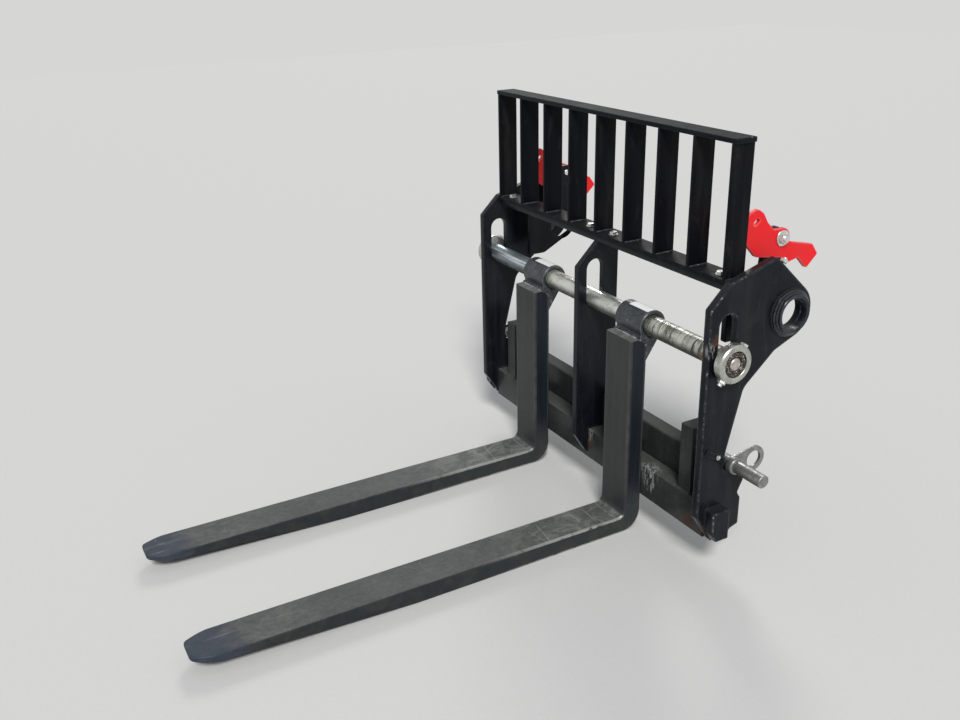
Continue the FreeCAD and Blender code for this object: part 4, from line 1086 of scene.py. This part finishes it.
# Locking pins, each with its flag, and the keepers beside them
lockPin = {"radius": 17, "boss": 23, "start": 551.5, "end": 661.5, "innerEnd": 425, "flag": 8,
           "bossThick": 20, "reach": 64, "flagRadius": 35, "hole": 22}
lean = math.asin((lockPin["flagRadius"] - lockPin["boss"]) / lockPin["reach"])
right = math.pi / 2
eyeAt = (lockY + lockPin["reach"], lockZ)
flagLoop = np.concatenate([arcLine(lockAxis, lockPin["boss"], right + lean, 3 * right - lean, 24),
                           arcLine(eyeAt, lockPin["flagRadius"], -right - lean, right + lean, 40)])
flagHole = circleLoop(*eyeAt, lockPin["hole"], 48)
for side, sign in sides.items():
    r, b, s = lockPin["radius"], lockPin["boss"], lockPin["start"]
    first, last, stop = lockPin["innerEnd"], lockPin["end"], s + lockPin["bossThick"]
    rod = [(first, r - 3, 1), (first + 3, r, 1), (first + 9, r, 0), (last - 8, r, 0), (last - 2, r, 1),
           (last, r - 2, 1)]
    ring = [(s, b - 1, 1), (s + 1, b, 1), (s + 5, b, 0), (stop - 5, b, 0), (stop - 2, b - 0.8, 1),
            (stop, b - 3.5, 1), (stop, r + 0.6, 0)]
    low, high = between(sign, s, s + lockPin["flag"])
    shells = [turned(mirrored(profile, sign), lockAxis, "x", 48) for profile in (rod, ring)]
    shells.append(slab(flagLoop, low, high, "x", [flagHole], 1.2, 2))
    makePiece("lockPin_" + side, shells, "pin", "lock_" + side, ["lock_pin_" + side])

# Keepers: a flat strip on the plate beside each locking pin, with a small bolt
keeper = {"from": (-237, -326), "length": 69, "wide": 15, "thick": 4, "tilt": -31, "bolt": 0.62}
length, wide = keeper["length"], keeper["wide"]
keeperSpots = tilted(keeper["from"], keeper["tilt"], [(0, 0), (length, 0), (length, wide), (0, wide),
                                                      (length * keeper["bolt"], wide / 2)])
keeperLoop = roundedLoop([(*corner, 3) for corner in keeperSpots[:4]], 20)
for side, sign in sides.items():
    low, high = between(sign, half, half + keeper["thick"])
    makePiece("pinKeeper_" + side, [slab(keeperLoop, low, high, "x", (), 0.8, 1.5)], "plate", "carriage",
              ["pin_keeper_" + side])
    shells = hexBolt(keeperSpots[4], sign * (half + keeper["thick"]), 5, sign * 4.5, "x", 6.5, 1)
    makePiece("keeperBolt_" + side, shells, "bolt", "carriage")
print("locking pins")

# Latches: a curved handle, a round boss on the bolt and a hook behind it
latch = {"low": 473, "high": 485, "hole": (-87, 51), "holeTilt": 40, "stem": 501, "washer": 20, "head": 14}
latchCorners = [(-51, 46, 12), (-66, 70, 12), (-86, 84, 18), (-116, 72, 18), (-121, 34, 40), (-117, 2, 22),
                (-81, -36, 14), (5, -50, 8), (21, -67, 6), (60, -59, 4), (92, -92, 6), (127, -59, 6),
                (106, -31, 6), (38, -16, 5), (22.5, -10, 0), (25, 1, 0), (22, 12, 0), (15, 20, 0),
                (5, 24.5, 0), (-6, 24, 0), (-28, 24, 12)]
latchLoop = roundedLoop([(earY + a, earZ + b, r) for a, b, r in latchCorners], 12)
handleAt = (earY + latch["hole"][0], earZ + latch["hole"][1])
handleCorners = tilted(handleAt, latch["holeTilt"], [(-10, -6), (10, -6), (10, 6), (-10, 6)])
handleHole = roundedLoop([(*corner, 5.9) for corner in handleCorners], 12)
for side, sign in sides.items():
    low, high = between(sign, latch["low"], latch["high"])
    plate = slab(latchLoop, low, high, "x", [earHole, handleHole], 1.4, 1.8)
    makePiece("latch_" + side, [plate], "latch_paint", "latch_" + side, ["latch_" + side])
    seat, rise = sign * (latch["high"] + 0.3), sign * 11.7
    shells = hexBolt(earAxis, seat, latch["head"], rise, "x", latch["washer"], 3)
    low, high = between(sign, 448, latch["stem"])
    shells.append(turned([(low, 8, 1), (low + 1, 9, 1), (high - 1, 9, 1), (high, 8, 1)], earAxis, "x", 32))
    spacer = between(sign, 463.2, 472.7)
    shells.append(turned(ringProfile(*spacer, 9.2, 20, 0.8), earAxis, "x", 40, True))
    makePiece("latchBolt_" + side, shells, "bolt", "carriage", ["latch_bolt_" + side])
print("latches")


# Camera at the photograph's viewing angle
view = {"place": (2.1406, -1.7184, 0.8188), "yaw": 61.538, "pitch": -22.603, "roll": -0.0249, "lens": 36.591}
yaw, pitchAngle, roll = math.radians(view["yaw"]), math.radians(view["pitch"]), view["roll"]
ahead = Vector((-math.sin(yaw) * math.cos(pitchAngle), math.cos(yaw) * math.cos(pitchAngle),
                math.sin(pitchAngle)))
across = Vector((math.cos(yaw), math.sin(yaw), 0))
above = across.cross(ahead)
rightward = across * math.cos(roll) + above * math.sin(roll)
upward = above * math.cos(roll) - across * math.sin(roll)
camera = bpy.data.objects.new("camera", bpy.data.cameras.new("camera"))
bpy.context.scene.collection.objects.link(camera)
rows = [[rightward[k], upward[k], -ahead[k], view["place"][k]] for k in range(3)]
camera.matrix_world = Matrix(rows + [[0, 0, 0, 1]])
camera.data.sensor_width = 36
camera.data.lens = view["lens"]
bpy.context.scene.camera = camera

# Floor, background, a soft sun from the right and a weaker one from behind
studio = {"floor": (0.77, 0.755, 0.73), "grit": (0.66, 0.65, 0.63), "floorAt": -0.688, "reach": 14,
          "sky": (0.86, 0.93, 1.0), "skyStrength": 0.3, "background": (0.675, 0.675, 0.667),
          "lights": {"sun": {"from": (0.63, -0.32, 0.70), "strength": 2.3, "spread": 14},
                     "rim": {"from": (-0.73, 0.40, 0.55), "strength": 0.7, "spread": 16}}}
reach, floorAt = studio["reach"], studio["floorAt"]
floorMesh = bpy.data.meshes.new("floor")
floorMesh.from_pydata([(-reach, -reach, floorAt), (reach, -reach, floorAt), (reach, reach, floorAt),
                       (-reach, reach, floorAt)], [], [(0, 1, 2, 3)])
floor = bpy.data.objects.new("floor", floorMesh)
bpy.context.scene.collection.objects.link(floor)
board = Board("floor")
floorColour = board.mix(board.noise(90, 4, 0.6) * 0.5, studio["floor"], studio["grit"])
floorMesh.materials.append(board.finish(Base_Color=floorColour, Roughness=0.9, Specular_IOR_Level=0.1))
for name, look in studio["lights"].items():
    light = bpy.data.lights.new(name, "SUN")
    light.energy = look["strength"]
    light.angle = math.radians(look["spread"])
    lamp = bpy.data.objects.new(name, light)
    lamp.rotation_euler = (-Vector(look["from"])).to_track_quat("-Z", "Y").to_euler()
    bpy.context.scene.collection.objects.link(lamp)

# The sky lights the part, and rays from the camera and from mirror reflections see a plain colour
world = bpy.data.worlds.new("studio")
bpy.context.scene.world = world
world.use_nodes = True
tree = world.node_tree
sky = tree.nodes["Background"]
sky.inputs["Color"].default_value = (*studio["sky"], 1)
sky.inputs["Strength"].default_value = studio["skyStrength"]
plain, rays, first, second, pick = (tree.nodes.new("ShaderNode" + kind) for kind in (
    "Background", "LightPath", "Math", "Math", "MixShader"))
plain.inputs["Color"].default_value = (*studio["background"], 1)
first.operation = second.operation = "MAXIMUM"
for source, target in ((rays.outputs["Is Camera Ray"], first.inputs[0]),
                       (rays.outputs["Is Glossy Ray"], first.inputs[1]),
                       (first.outputs[0], second.inputs[0]),
                       (rays.outputs["Is Transmission Ray"], second.inputs[1]),
                       (second.outputs[0], pick.inputs[0]), (sky.outputs[0], pick.inputs[1]),
                       (plain.outputs[0], pick.inputs[2]),
                       (pick.outputs[0], tree.nodes["World Output"].inputs["Surface"])):
    tree.links.new(source, target)
bpy.context.scene.view_settings.view_transform = "Standard"
print("studio")
